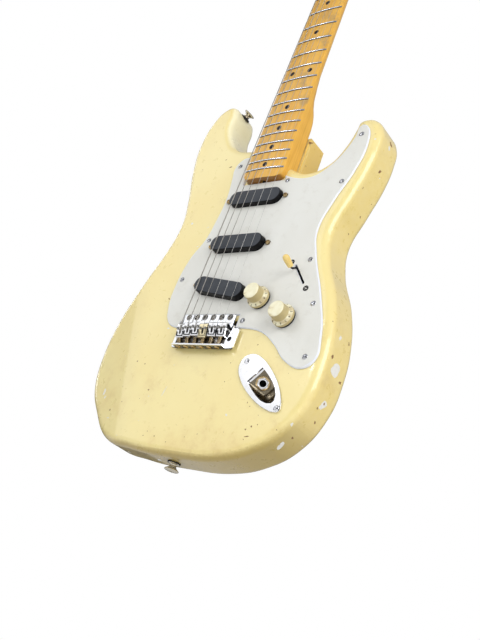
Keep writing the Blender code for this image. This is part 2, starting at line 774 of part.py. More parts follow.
def make_pickups():
    for name, (x, z, angle) in PICKUPS.items():
        top_h = PICKUP_TOP_H[name]
        cover = baked(slab(name + "_cover", stadium(PICKUP_LENGTH, PICKUP_WIDTH), -0.0100, top_h))
        bevel(cover, 0.0008, segments=1, degrees=60)
        cover = realised(cover)
        ears = baked(slab(name + "_ears", stadium(0.0840, 0.0160, 4), -0.0040, -0.0020))
        join(cover, ears)
        mesh = shared_mesh(cover, "black")
        copy_of(name, mesh, turned_in_plane(x, z, -angle), "black")


def knob_mesh():
    """A stepped knob turned about its local Z, with a hollow skirt, as a profile from (radius, height)."""
    profile = (
        (0.0000, KNOB_HEIGHT), (0.0080, KNOB_HEIGHT), (0.0088, KNOB_HEIGHT - 0.0008),
        (0.0092, 0.0058), (0.0104, 0.0044), (0.0117, 0.0036), (0.0120, 0.0026),
        (0.0120, 0.0000), (0.0108, 0.0000), (0.0098, 0.0024), (0.0054, 0.0030), (0.0034, 0.0030),
        (0.0034, 0.0136), (0.0000, 0.0136),
    )
    shape = bmesh.new()
    points = [shape.verts.new((radius, 0.0, height)) for radius, height in profile]
    for first, second in zip(points, points[1:]):
        shape.edges.new((first, second))
    knob = mesh_object("knob", shape)
    turn = knob.modifiers.new("Turned", "SCREW")
    turn.axis = "Z"
    turn.steps = 20
    turn.render_steps = 20
    turn.use_merge_vertices = True
    turn.merge_threshold = 0.0001
    return shared_mesh(knob, "cream")


def make_controls():
    mesh = knob_mesh()
    towards_front = Matrix.Rotation(math.radians(90), 4, "X")
    for name, (x, z) in KNOBS.items():
        place = Matrix.Translation((x, front(KNOB_UNDER_H), z)) @ towards_front
        copy_of(f"{name}_knob", mesh, place, "cream")
        shaft = rod(f"{name}_shaft", 0.0030, (0, front(0.0072), 0), (0, front(KNOB_UNDER_H + 0.0130), 0), 12)
        shaft.location = (x, 0, z)
        finish_object(shaft, "steel")
        case = rod(f"{name}_pot", 0.0122, (0, front(-0.0125), 0), (0, front(-0.0015), 0), 20)
        bush = rod(f"{name}_bushing", 0.0046, (0, front(-0.0100), 0), (0, front(0.0060), 0), 12)
        case.location = (x, 0, z)
        bush.location = (x, 0, z)
        join(case, bush)
        finish_object(case, "steel")


def slot_vector():
    return Vector((SWITCH_DIRECTION[0], 0, SWITCH_DIRECTION[1])).normalized()


def switch_axis_point():
    return Vector((SWITCH[0], front(SWITCH_PIVOT_H), SWITCH[1]))


def lever_point(side, rise, sideways=0.0):
    """A point on the lever: side along the slot, rise above the pivot, and sideways across the slot."""
    along = slot_vector()
    across = Vector((along.z, 0, -along.x))
    return switch_axis_point() + along * side - across * sideways + Vector((0, -rise, 0))


def make_switch():
    frame = slab("selector_switch", rectangle(-0.0200, 0.0200, -0.0085, 0.0085), -0.0320, -0.0010,
                 place=turned_in_plane(*SWITCH, slot_angle()))
    frame = baked(frame)
    room = slab("lever_room", rectangle(-0.0170, 0.0170, -0.0030, 0.0030), -0.0305, 0.004,
                place=turned_in_plane(*SWITCH, slot_angle()))
    cut(frame, room)
    finish_object(frame, "steel")
    rise = GUARD_TOP_H - SWITCH_PIVOT_H
    reach = math.tan(SWITCH_REST) * rise
    bend = lever_point(reach + 0.0003, rise + 0.0008)
    tip_base = lever_point(0.0082, rise + 0.0072, 0.0032)
    tip_top = lever_point(0.0143, rise + 0.0192, 0.0010)
    lever = rod("selector_lever", 0.0010, lever_point(0.0, 0.0), bend, 8)
    way = (tip_top - tip_base).normalized()
    knee = tip_base - way * 0.0020
    join(lever, rod("lever_bend", 0.00101, bend - (bend - lever_point(0, 0)).normalized() * 0.0006, knee, 8))
    join(lever, rod("lever_end", 0.00102, knee - way * 0.0004, tip_base + way * 0.0024, 8))
    finish_object(lever, "steel")
    base = rod("selector_tip", 0.0030, tip_base, tip_base + way * 0.0102, 14, 0.0036)
    crown_shape = bmesh.new()
    turn = way.to_track_quat("Z", "Y").to_matrix().to_4x4()
    place = Matrix.Translation(tip_base + way * 0.0101) @ turn
    bmesh.ops.create_uvsphere(crown_shape, u_segments=14, v_segments=8, radius=0.00358, matrix=place)
    join(base, mesh_object("tip_crown", crown_shape))
    cut(base, rod("tip_bore", 0.0021, tip_base - way * 0.002, tip_base + way * 0.0040, 10))
    finish_object(base, "amber")
    empty = pivot_empty("selector_axis", switch_axis_point())
    ride_on(empty, lever, base)


def jack_frame():
    """The middle of the jack plate, and the directions across it and towards its wide end."""
    turn = turned_in_plane(*JACK, JACK_ANGLE + math.pi / 2)
    return turn.translation, turn.to_3x3() @ Vector((1, 0, 0)), turn.to_3x3() @ Vector((0, 0, 1))


def jack_axis():
    """The plug's direction, out of the body and towards the plate's point, and the socket's mouth."""
    centre, _, up = jack_frame()
    axis = (Vector((0, -1, 0)) - up).normalized()
    return axis, centre + up * JACK_MOUTH_V + Vector((0, front(JACK_MOUTH_V - JACK_CUP[0][0]), 0))


def jack_cup(name, grow, top_h):
    """The bowl of the jack plate, with a flat sloping face for the socket, as a closed solid."""
    centre, across, up = jack_frame()
    shape = bmesh.new()
    rings = []
    for index, (v, half_width, depth) in enumerate(JACK_CUP):
        reach = grow if index == 0 else -grow if index == len(JACK_CUP) - 1 else 0.0
        section = [(-1.0, top_h), (1.0, top_h)]
        for step in range(9):
            angle = math.pi * step / 8
            side = abs(math.cos(angle)) ** 0.7 * math.copysign(1, math.cos(angle))
            section.append((side, -(depth + grow) * abs(math.sin(angle)) ** 0.7))
        spots = [centre + up * (v + reach) + across * (side * (half_width + grow)) for side, _ in section]
        ring = [spot + Vector((0, front(h), 0)) for spot, (_, h) in zip(spots, section)]
        rings.append([shape.verts.new(point) for point in ring])
    count = len(rings[0])
    for ring, following in zip(rings, rings[1:]):
        for index in range(count):
            after = (index + 1) % count
            shape.faces.new((ring[index], ring[after], following[after], following[index]))
    shape.faces.new(rings[0])
    shape.faces.new(rings[-1])
    face_outwards(shape)
    return mesh_object(name, shape)


def make_jack():
    place = turned_in_plane(*JACK, JACK_ANGLE + math.pi / 2)
    plate = baked(slab("jack_plate", JACK_OUTLINE, GAP, 0.0016, steps=3, place=place))
    axis, mouth = jack_axis()
    bore = rod("jack_bore", JACK_BARREL_R + GAP, mouth - axis * 0.0100, mouth + axis * 0.0080, 16)
    join(plate, jack_cup("jack_cup", 0.0010, 0.0011))
    cut(plate, jack_cup("jack_cup_hollow", 0.0, 0.0040), bore)
    finish_object(plate, "chrome")
    jack = rod("output_jack", JACK_BARREL_R, mouth - axis * 0.0150, mouth + axis * 0.0022, 16)
    join(jack, rod("jack_nut", 0.0057, mouth + axis * GAP, mouth + axis * 0.0016, 6))
    cut(jack, rod("jack_socket", 0.0033, mouth - axis * 0.0130, mouth + axis * 0.0060, 14))
    finish_object(jack, "nickel")


# Bridge

def make_bridge():
    rear_left, rear_right = PLATE_REAR_X
    front_left, front_right = PLATE_FRONT_X
    points = [(rear_left, PLATE_REAR_Z, "corner")]
    for step in range(4):
        angle = math.radians(-90 + 30 * step)
        x = rear_right - 0.0028 + 0.0028 * math.cos(angle)
        points.append((x, PLATE_REAR_Z + 0.0028 + 0.0028 * math.sin(angle), "corner"))
    points += [(rear_right, PLATE_STEP_Z, "corner"), (front_right, PLATE_STEP_Z, "corner"),
               (front_right, PLATE_FRONT_Z, "corner"), (front_left, PLATE_FRONT_Z, "corner"),
               (front_left, PLATE_STEP_Z, "corner"), (rear_left, PLATE_STEP_Z, "corner")]
    plate = baked(slab("bridge_plate", points, PLATE_UNDER_H, PLATE_TOP_H))
    lip = box("bridge_lip", (LIP_X[0], front(LIP_TOP_H), PLATE_REAR_Z + 0.0001),
              (LIP_X[1], front(PLATE_UNDER_H + 0.001), PLATE_REAR_Z + 0.0018))
    join(plate, lip)
    x, z = ARM_HOLE
    cut(plate, rod("arm_hole", 0.0026, (x, front(0.0), z), (x, front(0.008), z), 16))
    finish_object(plate, "chrome")
    block = box("tremolo_block", (-0.0360, front(PLATE_UNDER_H - GAP), SADDLE_Z - 0.0135),
                (0.0360, front(BLOCK_BOTTOM_H), SADDLE_Z - 0.0010))
    bevel(block, 0.0010, segments=1)
    finish_object(block, "steel")
    mesh = saddle_mesh()
    for index in range(6):
        x = string_x(index, SADDLE_Z)
        top_h = saddle_string_h(index) - STRING_D[index] / 2 - GAP
        place = Matrix.Translation((x, front(top_h), SADDLE_Z + INTONATION[index]))
        saddle = copy_of(f"saddle_{index + 1}", mesh, place, "chrome")
        ride_on(BRIDGE_AXIS, saddle)
    ride_on(BRIDGE_AXIS, plate, block)


def saddle_mesh():
    """A bent steel saddle: a bridge of sheet with a leg at each end and a slot for its string."""
    outer = ((-0.0132, -0.0052), (-0.0132, -0.0024), (-0.0126, -0.0016), (-0.0030, -0.0002),
             (-0.0006, 0.0000), (0.0012, -0.0008), (0.0022, -0.0024), (0.0022, -0.0052))
    inner = ((0.0010, -0.0052), (0.0010, -0.0026), (0.0002, -0.0016), (-0.0012, -0.0012),
             (-0.0030, -0.0014), (-0.0118, -0.0027), (-0.0120, -0.0030), (-0.0120, -0.0052))
    points = [(z, h, "corner") for z, h in outer + inner]
    saddle = outline_curve("saddle", points, 0.0104, 1)
    saddle.matrix_world = PROFILE_SIDEWAYS
    saddle = baked(realised(saddle))
    cut(saddle, box("saddle_slot", (-0.00145, -0.003, -0.0098), (0.00145, 0.004, -0.0034)))
    return shared_mesh(saddle, "chrome")


def make_springs():
    claw_z = SADDLE_Z + 0.0800
    claw = box("spring_claw", (-0.0280, front(-0.0420), claw_z), (0.0280, front(-0.0300), claw_z + 0.0020))
    finish_object(claw, "steel")
    for number, x in enumerate((-0.0180, 0.0, 0.0180), 1):
        start = (x, front(-0.0340), SADDLE_Z - 0.0010 + GAP)
        spring = rod(f"tremolo_spring_{number}", 0.0038, start, (x, front(-0.0340), claw_z - GAP), 12)
        finish_object(spring, "steel")


def make_back_plates():
    points = rounded_rectangle(0.0460, 0.1080, 0.2640, 0.0060)
    cover = baked(slab("tremolo_cover", points, BACK_H - 0.0018, BACK_H - GAP))
    cut(cover, slab("string_access", stadium(0.0720, 0.0140), -0.06, -0.04,
                    place=turned_in_plane(0.0, SADDLE_Z - 0.0080, 0.0)))
    finish_object(cover, "guard")
    points = rounded_rectangle(0.0255, 0.3240, 0.3880, 0.0030)
    plate = baked(slab("neck_plate", points, BACK_H - 0.0023, BACK_H - GAP))
    finish_object(plate, "chrome")


def strap_button(name, seat, away):
    """A flared button turned about its axis, standing on its seat."""
    profile = ((0.0000, 0.0086), (0.0062, 0.0086), (0.0076, 0.0076), (0.0060, 0.0063),
               (0.0036, 0.0046), (0.0038, 0.0014), (0.0062, 0.0003), (0.0000, 0.0003))
    shape = bmesh.new()
    points = [shape.verts.new((radius, 0.0, height)) for radius, height in profile]
    for first, second in zip(points, points[1:]):
        shape.edges.new((first, second))
    button = mesh_object(name, shape)
    turn = button.modifiers.new("Turned", "SCREW")
    turn.axis = "Z"
    turn.steps = 16
    turn.render_steps = 16
    turn.use_merge_vertices = True
    turn.merge_threshold = 0.0001
    facing = Vector(away).to_track_quat("Z", "Y").to_matrix().to_4x4()
    button.matrix_world = Matrix.Translation(seat) @ facing
    return finish_object(realised(button), "nickel")


BRIDGE_AXIS = pivot_empty("tremolo_axis", (0, front(PIVOT_H), PIVOT_Z))

make_body()
make_neck()
make_truss_rod()
make_nut()
make_string_tree()
for string_index in range(6):
    make_string(string_index)
make_tuners()
make_guard()
make_pickups()
make_controls()
make_switch()
make_jack()
make_bridge()
make_springs()
make_back_plates()
strap_button("strap_button_lower", (0.0, 0.0, -0.0003), (0, 0, -1))
strap_button("strap_button_upper", (-0.0986, 0.0, 0.4525), (0.62, 0, 0.78))
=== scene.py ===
"""How the electric guitar looks: refined pieces, materials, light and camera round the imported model."""

import json
import math
import random

import bmesh
import bpy
import numpy as np
from mathutils import Matrix, Vector
from mathutils.bvhtree import BVHTree

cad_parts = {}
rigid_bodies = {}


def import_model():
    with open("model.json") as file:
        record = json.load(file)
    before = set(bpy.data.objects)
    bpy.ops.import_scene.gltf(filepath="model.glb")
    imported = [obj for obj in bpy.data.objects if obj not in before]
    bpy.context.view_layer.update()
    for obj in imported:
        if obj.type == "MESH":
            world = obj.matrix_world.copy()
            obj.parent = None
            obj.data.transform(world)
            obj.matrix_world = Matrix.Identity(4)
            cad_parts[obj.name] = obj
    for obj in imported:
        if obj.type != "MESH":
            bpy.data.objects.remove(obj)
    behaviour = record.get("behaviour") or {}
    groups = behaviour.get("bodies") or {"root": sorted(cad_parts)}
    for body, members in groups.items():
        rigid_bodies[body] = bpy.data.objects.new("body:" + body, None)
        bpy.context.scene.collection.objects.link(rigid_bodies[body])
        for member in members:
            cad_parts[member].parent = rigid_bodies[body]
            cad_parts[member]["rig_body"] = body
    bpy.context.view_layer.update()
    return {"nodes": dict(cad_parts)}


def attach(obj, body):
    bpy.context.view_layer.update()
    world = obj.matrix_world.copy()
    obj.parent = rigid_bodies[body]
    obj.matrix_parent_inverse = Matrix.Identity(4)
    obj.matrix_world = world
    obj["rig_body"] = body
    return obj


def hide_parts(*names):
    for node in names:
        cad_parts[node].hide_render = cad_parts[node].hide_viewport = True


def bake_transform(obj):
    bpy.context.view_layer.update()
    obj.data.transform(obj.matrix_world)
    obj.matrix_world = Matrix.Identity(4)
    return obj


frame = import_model()

# Dimensions shared with the solid model, in metres
SCALE = 0.6477
SADDLE_Z = 0.1415
NUT_Z = SADDLE_Z + SCALE
NUT_W = 0.0034
BODY_T = 0.04445
FRONT_Y = -BODY_T / 2
EDGE_R = 0.009
HEEL_Z = SADDLE_Z + 0.180
HEEL_END_Z = 0.3935
HEEL_HALF = 0.0276
NUT_HALF = 0.0210
HEEL_CORNER_R = 0.010
POCKET_DEPTH = 0.0159
POCKET_GAP = 0.0003
POCKET_CORNER_R = 0.0085
BOARD_H = 0.0099
BOARD_R = 0.184
HEEL_THICK = BOARD_H + POCKET_DEPTH - POCKET_GAP
CONTROL_DEPTH = 0.035
JACK_CAVITY_DEPTH = 0.034
# How far a cutter stands out past the face it cuts
CUT_PAST = 0.004
# Boxes as left and right x, low and high z, low and high height
HEEL_TONGUE = (-0.0270, 0.0302, 0.330, HEEL_END_Z, -BODY_T, -POCKET_DEPTH + 0.0012)
TREMOLO_WELL = (-0.0395, 0.0395, 0.1150, 0.1460, -0.0500, CUT_PAST)
SPRING_CAVITY = (-0.0395, 0.0395, 0.1160, 0.2560, -0.0500, -0.0275)
SPRING_XS = (-0.0180, 0.0, 0.0180)
SPRING_H = -0.0340
NECK_END_THICK = 0.0192
# How the neck's section changes up from the heel: distance, thickness, squareness and board edge's depth
NECK_KNOTS = (
    (0.0717, 0.0255, 12.0, 0.0055), (0.0800, 0.0255, 12.0, 0.0050), (0.0900, 0.0252, 9.00, 0.0045),
    (0.0980, 0.0244, 6.00, 0.0040), (0.1060, 0.0230, 3.60, 0.0030), (0.1160, 0.0217, 2.60, 0.0025),
    (0.1350, 0.0205, 2.10, 0.0023), (0.1500, 0.0200, 1.85, 0.0022), (0.4560, 0.0192, 1.85, 0.0022),
)
# Angles for the steps of a small rounded edge
QUARTER_TURN = (0, 0.4, 0.8, 1.2, 1.571)
HEAD_FACE_H = 0.0029
HEAD_T = 0.0140
STRING_D = (0.00117, 0.00091, 0.00066, 0.00043, 0.00036, 0.00030)
BRIDGE_SPACING = 0.0112
NUT_SPACING = 0.0071
SADDLE_STRING_H = 0.0137
SADDLE_HALF = 0.0052
INTONATION = (-0.0060, -0.0054, -0.0048, -0.0068, -0.0050, -0.0044)
POST_Z = 0.6830 + SADDLE_Z
POST_PITCH = 0.0250
POST_R = 0.0030
POST_TOP_H = HEAD_FACE_H + 0.0150
PLATE_TOP_H = 0.0049
PLATE_REAR_X = (-0.0375, 0.0458)
PLATE_FRONT_X = (-0.0335, 0.0347)
PLATE_FRONT_Z = SADDLE_Z + 0.0092
PLATE_STEP_Z = SADDLE_Z - 0.0060
PLATE_REAR_Z = SADDLE_Z - 0.0290
PIVOT_Z = SADDLE_Z + 0.0060
PIVOT_MIDDLE_X = 0.0008
PIVOT_PITCH = 0.01127
LENGTH_SCREW_H = 0.0066
LENGTH_SCREW_MIDDLE_X = 0.0013
LENGTH_SCREW_PITCH = 0.0106
LIP_X = (-0.0310, 0.0370)
LIP_TOP_H = 0.0112
ARM_HOLE = (0.0380, 0.1230)
GUARD_TOP_H = 0.0023
PICKUPS = {
    "pickup_neck": (0.0000, SADDLE_Z + 0.1566, 0.0),
    "pickup_middle": (0.0000, SADDLE_Z + 0.0963, 0.0),
    "pickup_bridge": (0.0000, SADDLE_Z + 0.0402, math.radians(10.0)),
}
PICKUP_TOP_H = {"pickup_neck": 0.0082, "pickup_middle": 0.0100, "pickup_bridge": 0.0101}
PICKUP_SCREW_X = 0.0395
KNOBS = {"volume": (0.0575, SADDLE_Z + 0.0275), "tone": (0.0960, SADDLE_Z + 0.0064)}
KNOB_UNDER_H = 0.0051
KNOB_HEIGHT = 0.0157
SWITCH = (0.0945, SADDLE_Z + 0.0555)
SWITCH_PIVOT_H = -0.0270
# Along the switch's slot, as x and z
SWITCH_WAY = (-0.620, 0.785)
JACK = (0.0935, SADDLE_Z - 0.0630)
JACK_ANGLE = math.radians(49.5)
JACK_MOUTH_V = 0.0072
JACK_PLATE_H = 0.0016
JACK_SCREWS = ((0.0674, 0.1011), (0.1198, 0.0558))

BODY_OUTLINE = (
    (0.0150, 0.0000), (-0.0500, 0.0030), (-0.0960, 0.0115), (-0.1305, 0.0395),
    (-0.1530, 0.0685), (-0.1605, 0.1070), (-0.1525, 0.1530), (-0.1330, 0.1950),
    (-0.1145, 0.2430), (-0.1093, 0.2750), (-0.1155, 0.3090), (-0.1295, 0.3560),
    (-0.1355, 0.3950), (-0.1295, 0.4330), (-0.1150, 0.4525), (-0.1015, 0.4548),
    (-0.0950, 0.4440), (-0.0932, 0.4215), (-0.0845, 0.4010), (-0.0680, 0.3830),
    (-0.0450, 0.3765), (-0.0180, 0.3750), (0.0050, 0.3650), (0.0170, 0.3490),
    (0.0290, 0.3400), (0.0400, 0.3345), (0.0545, 0.3310), (0.0775, 0.3380),
    (0.0915, 0.3590), (0.0978, 0.3800), (0.1000, 0.3895), (0.1085, 0.3930),
    (0.1210, 0.3895), (0.1312, 0.3750), (0.1335, 0.3550), (0.1305, 0.3250),
    (0.1205, 0.2885), (0.1110, 0.2530), (0.1170, 0.2205), (0.1380, 0.1775),
    (0.1495, 0.1400), (0.1530, 0.1050), (0.1480, 0.0660), (0.1280, 0.0320),
    (0.0970, 0.0115), (0.0600, 0.0018),
)
GUARD_OUTLINE = (
    (-0.0289, 0.3560, "corner"), (-0.0370, 0.3612), (-0.0462, 0.3585), (-0.0527, 0.3475),
    (-0.0507, 0.3325), (-0.0470, 0.3045), (-0.0500, 0.2685), (-0.0536, 0.2500),
    (-0.0657, 0.2245), (-0.0714, 0.1900), (-0.0685, 0.1610), (-0.0590, 0.1430),
    (-0.0430, 0.1372), (-0.0370, 0.1372, "corner"), (-0.0370, 0.1518, "corner"),
    (0.0370, 0.1518, "corner"), (0.0370, 0.1372, "corner"), (0.0480, 0.1370),
    (0.0714, 0.1329), (0.0914, 0.1201), (0.1110, 0.1027), (0.1325, 0.0960),
    (0.1440, 0.1040), (0.1430, 0.1280), (0.1280, 0.1715), (0.1052, 0.2215),
    (0.0972, 0.2490), (0.1045, 0.2840), (0.1175, 0.3190), (0.1230, 0.3540),
    (0.1155, 0.3785), (0.1082, 0.3810), (0.1038, 0.3640), (0.0920, 0.3400),
    (0.0842, 0.3312), (0.0773, 0.3254), (0.0691, 0.3210), (0.0573, 0.3195),
    (0.0413, 0.3221), (0.0289, 0.3268, "corner"), (0.0289, 0.3208, "corner"),
    (-0.0289, 0.3208, "corner"),
)
CONTROL_OUTLINE = (
    (0.0430, 0.1540), (0.0420, 0.1780), (0.0600, 0.1980), (0.0780, 0.2260),
    (0.0940, 0.2270), (0.1180, 0.1890), (0.1290, 0.1500), (0.1290, 0.1180),
    (0.1120, 0.1160), (0.0880, 0.1310), (0.0680, 0.1480),
)
HEAD_OUTLINE = (
    (0.0200, 0.6490, "corner"), (-0.0200, 0.6490, "corner"), (-0.0260, 0.6600),
    (-0.0350, 0.6690), (-0.0330, 0.6900), (-0.0190, 0.7440), (-0.0030, 0.8020),
    (0.0050, 0.8260), (0.0180, 0.8370), (0.0320, 0.8310), (0.0370, 0.8130),
    (0.0330, 0.7600), (0.0280, 0.7000), (0.0240, 0.6650),
)
# One side of the jack plate, between its two points
JACK_SIDE = (
    (-0.0062, 0.0392), (-0.0115, 0.0335), (-0.0146, 0.0235), (-0.0158, 0.0110), (-0.0151, -0.0030),
    (-0.0131, -0.0155), (-0.0095, -0.0268), (-0.0046, -0.0358),
)
JACK_TIPS = ((0.0000, 0.0413), (0.0000, -0.0390))
JACK_CAVITY_SIDE = ((-0.0125, 0.024), (-0.0138, 0.002), (-0.0108, -0.018), (-0.0040, -0.0290))
JACK_CUP = (
    (0.0145, 0.0097, 0.0002), (0.0095, 0.0102, 0.0052), (0.0045, 0.0104, 0.0102),
    (0.0005, 0.0104, 0.0142), (-0.0070, 0.0101, 0.0142), (-0.0150, 0.0089, 0.0108),
    (-0.0220, 0.0060, 0.0060), (-0.0262, 0.0018, 0.0015),
)


STILL = Matrix.Identity(4)


def front(h):
    """Y of a height h above the body's front face."""
    return FRONT_Y - h


def linked(name, data):
    obj = bpy.data.objects.new(name, data)
    bpy.context.scene.collection.objects.link(obj)
    return obj


def baked(obj, *helpers):
    """The mesh of an object with its modifiers or its curve applied; it and its helpers are removed."""
    bpy.context.view_layer.update()
    data = bpy.data.meshes.new_from_object(obj.evaluated_get(bpy.context.evaluated_depsgraph_get()))
    for used in (*helpers, obj):
        bpy.data.objects.remove(used)
    return data


# Camera

def make_camera():
    data = bpy.data.cameras.new("photo_angle")
    data.lens = 46.82
    data.sensor_width = 36.0
    data.clip_start = 0.02
    camera = linked("photo_angle", data)
    right = Vector((0.76203, 0.56195, 0.32175))
    forward = Vector((-0.64754, 0.65944, 0.38187))
    up = right.cross(forward)
    camera.matrix_world = Matrix((
        (right.x, up.x, -forward.x, 0.5728),
        (right.y, up.y, -forward.y, -0.566725),
        (right.z, up.z, -forward.z, -0.1682),
        (0, 0, 0, 1),
    ))
    bpy.context.scene.camera = camera


make_camera()


# Node materials

class Shader:
    """A small builder for one node material."""

    def __init__(self, name):
        self.material = bpy.data.materials.new(name)
        self.material.use_nodes = True
        self.tree = self.material.node_tree
        self.principled = self.tree.nodes["Principled BSDF"]
        self.place = self.add("ShaderNodeTexCoord").outputs["Object"]
        self.normal = self.add("ShaderNodeNewGeometry").outputs["Normal"]

    def add(self, kind, inputs=None, **settings):
        made = self.tree.nodes.new(kind)
        for key, value in settings.items():
            setattr(made, key, value)
        for key, value in (inputs or {}).items():
            self.feed(made.inputs[key], value)
        return made

    def feed(self, socket, value):
        if isinstance(value, bpy.types.NodeSocket):
            self.tree.links.new(value, socket)
        elif isinstance(value, (tuple, list)) and len(value) == 3 and len(socket.default_value) == 4:
            socket.default_value = (*value, 1.0)
        else:
            socket.default_value = value

    def set(self, **inputs):
        for key, value in inputs.items():
            self.feed(self.principled.inputs[key.replace("_", " ")], value)
        return self

    def scaled(self, x, y, z):
        return self.add("ShaderNodeMapping", {"Vector": self.place, "Scale": (x, y, z)}).outputs[0]

    def noise(self, scale, detail=4.0, vector=None, roughness=0.55, distortion=0.0):
        made = self.add("ShaderNodeTexNoise", {
            "Vector": vector or self.place, "Scale": scale, "Detail": detail,
            "Roughness": roughness, "Distortion": distortion,
        })
        return made.outputs["Fac"]

    def wave(self, scale, distortion, vector=None):
        made = self.add("ShaderNodeTexWave", {
            "Vector": vector or self.place, "Scale": scale, "Distortion": distortion, "Detail": 2.0,
        }, bands_direction="Z")
        return made.outputs["Fac"]

    def specks(self, scale, channel, rarest, commonest, size, vector=None, even_sized=False):
        """1 inside scattered round spots: a cell's random colour settles how large its spot is."""
        cells = self.add("ShaderNodeTexVoronoi", {"Vector": vector or self.place, "Scale": scale})
        colour = cells.outputs["Color"]
        if even_sized:
            colour = self.add("ShaderNodeVectorMath", {0: colour}, operation="NORMALIZE").outputs[0]
        radius = self.ramp(self.split(colour)[channel], rarest, commonest, 0.0, size)
        return self.math("LESS_THAN", cells.outputs["Distance"], radius)

    def ramp(self, value, low, high, out_low=0.0, out_high=1.0):
        made = self.add("ShaderNodeMapRange", {
            "Value": value, "From Min": low, "From Max": high, "To Min": out_low, "To Max": out_high,
        }, interpolation_type="SMOOTHSTEP")
        return made.outputs[0]

    def math(self, operation, first, second=0.0):
        made = self.add("ShaderNodeMath", operation=operation)
        self.feed(made.inputs[0], first)
        self.feed(made.inputs[1], second)
        return made.outputs[0]

    def times(self, *values):
        product = values[0]
        for value in values[1:]:
            product = self.math("MULTIPLY", product, value)
        return product

    def raised(self, value, share, base):
        return self.math("ADD", self.times(value, share), base)

    def mix(self, share, first, second):
        made = self.add("ShaderNodeMix", data_type="RGBA")
        self.feed(made.inputs[0], share)
        self.feed(made.inputs[6], first)
        self.feed(made.inputs[7], second)
        return made.outputs[2]

    def over(self, colour, tint, *shares):
        """The colour with a tint laid over it, as strongly as the product of the shares."""
        return self.mix(self.times(*shares), colour, tint)

    def split(self, vector):
        return self.add("ShaderNodeSeparateXYZ", {"Vector": vector}).outputs

    def facing(self):
        """1 where the surface looks straight out of the front or the back, 0 on a side wall."""
        return self.math("ABSOLUTE", self.split(self.normal)[1])

    def bump(self, height, strength, distance=0.0002):
        made = self.add("ShaderNodeBump", {"Height": height, "Strength": strength, "Distance": distance})
        self.tree.links.new(made.outputs[0], self.principled.inputs["Normal"])
        return self


def lacquer():
    s = Shader("aged_cream_lacquer")
    x, y, z = s.split(s.place)
    normal_x, _, normal_z = s.split(s.normal)
    edge = s.ramp(s.facing(), 0.05, 0.97, 1.0, 0.0)
    fine = s.noise(90.0, 6.0, roughness=0.7)
    face = s.mix(s.ramp(s.noise(7.0, 3.0), 0.35, 0.68), (0.870, 0.750, 0.345), (0.850, 0.705, 0.295))
    rim = s.mix(s.ramp(fine, 0.3, 0.7), (0.830, 0.660, 0.250), (0.850, 0.690, 0.300))
    colour = s.mix(edge, face, rim)
    stain = s.ramp(s.noise(19.0, 6.0, roughness=0.7), 0.46, 0.72)
    colour = s.over(colour, (0.690, 0.500, 0.190), s.ramp(z, 0.03, 0.17, 1.0, 0.0), stain, 0.45)
    # Painted light: the amber glow that the maple neck bounces onto the tongue and onto the side walls beside
    # it
    painted_neck_bounce = s.ramp(s.math("ABSOLUTE", x), 0.028, 0.036, 1.0, 0.0)
    colour = s.over(colour, (0.760, 0.490, 0.090), s.ramp(z, 0.330, 0.345), painted_neck_bounce, edge, 0.75)
    # Painted shade: surfaces that face down are painted darker and browner
    colour = s.over(colour, (0.380, 0.270, 0.050), s.ramp(normal_z, -0.25, -0.85), 0.88)
    # Painted light: the inner side of the bass horn, which the neck shades from the side light, is painted
    # paler
    painted_horn_light = s.times(s.ramp(normal_x, 0.30, 0.75), s.ramp(x, -0.050, -0.062), s.ramp(z, 0.372, 0.388))
    colour = s.over(colour, (0.980, 0.930, 0.620), painted_horn_light)
    dark_specks = s.specks(85.0, 0, 0.78, 0.98, 0.085, even_sized=True)
    colour = s.over(colour, (0.30, 0.17, 0.07), dark_specks, s.ramp(s.noise(11.0, 2.0), 0.45, 0.62))
    pale_specks = s.specks(46.0, 1, 0.86, 1.0, 0.070, s.scaled(1.0, 1.3, 0.9))
    pale_patches = s.ramp(s.noise(9.0, 2.0, s.scaled(1.1, 1, 0.8)), 0.5, 0.6)
    colour = s.over(colour, (0.86, 0.83, 0.70), pale_specks, pale_patches)
    grime_and_shade = s.ramp(s.noise(38.0, 8.0, roughness=0.72), 0.54, 0.80)
    colour = s.over(colour, (0.55, 0.40, 0.16), grime_and_shade, 0.28)
    s.set(Base_Color=colour, Roughness=s.ramp(fine, 0.3, 0.7, 0.26, 0.36), Coat_Weight=0.70,
          Coat_Roughness=0.06)
    s.bump(s.math("ADD", s.noise(260.0, 3.0), s.times(s.noise(40.0, 2.0), 1.5)), 0.10, 0.0006)
    return s.material


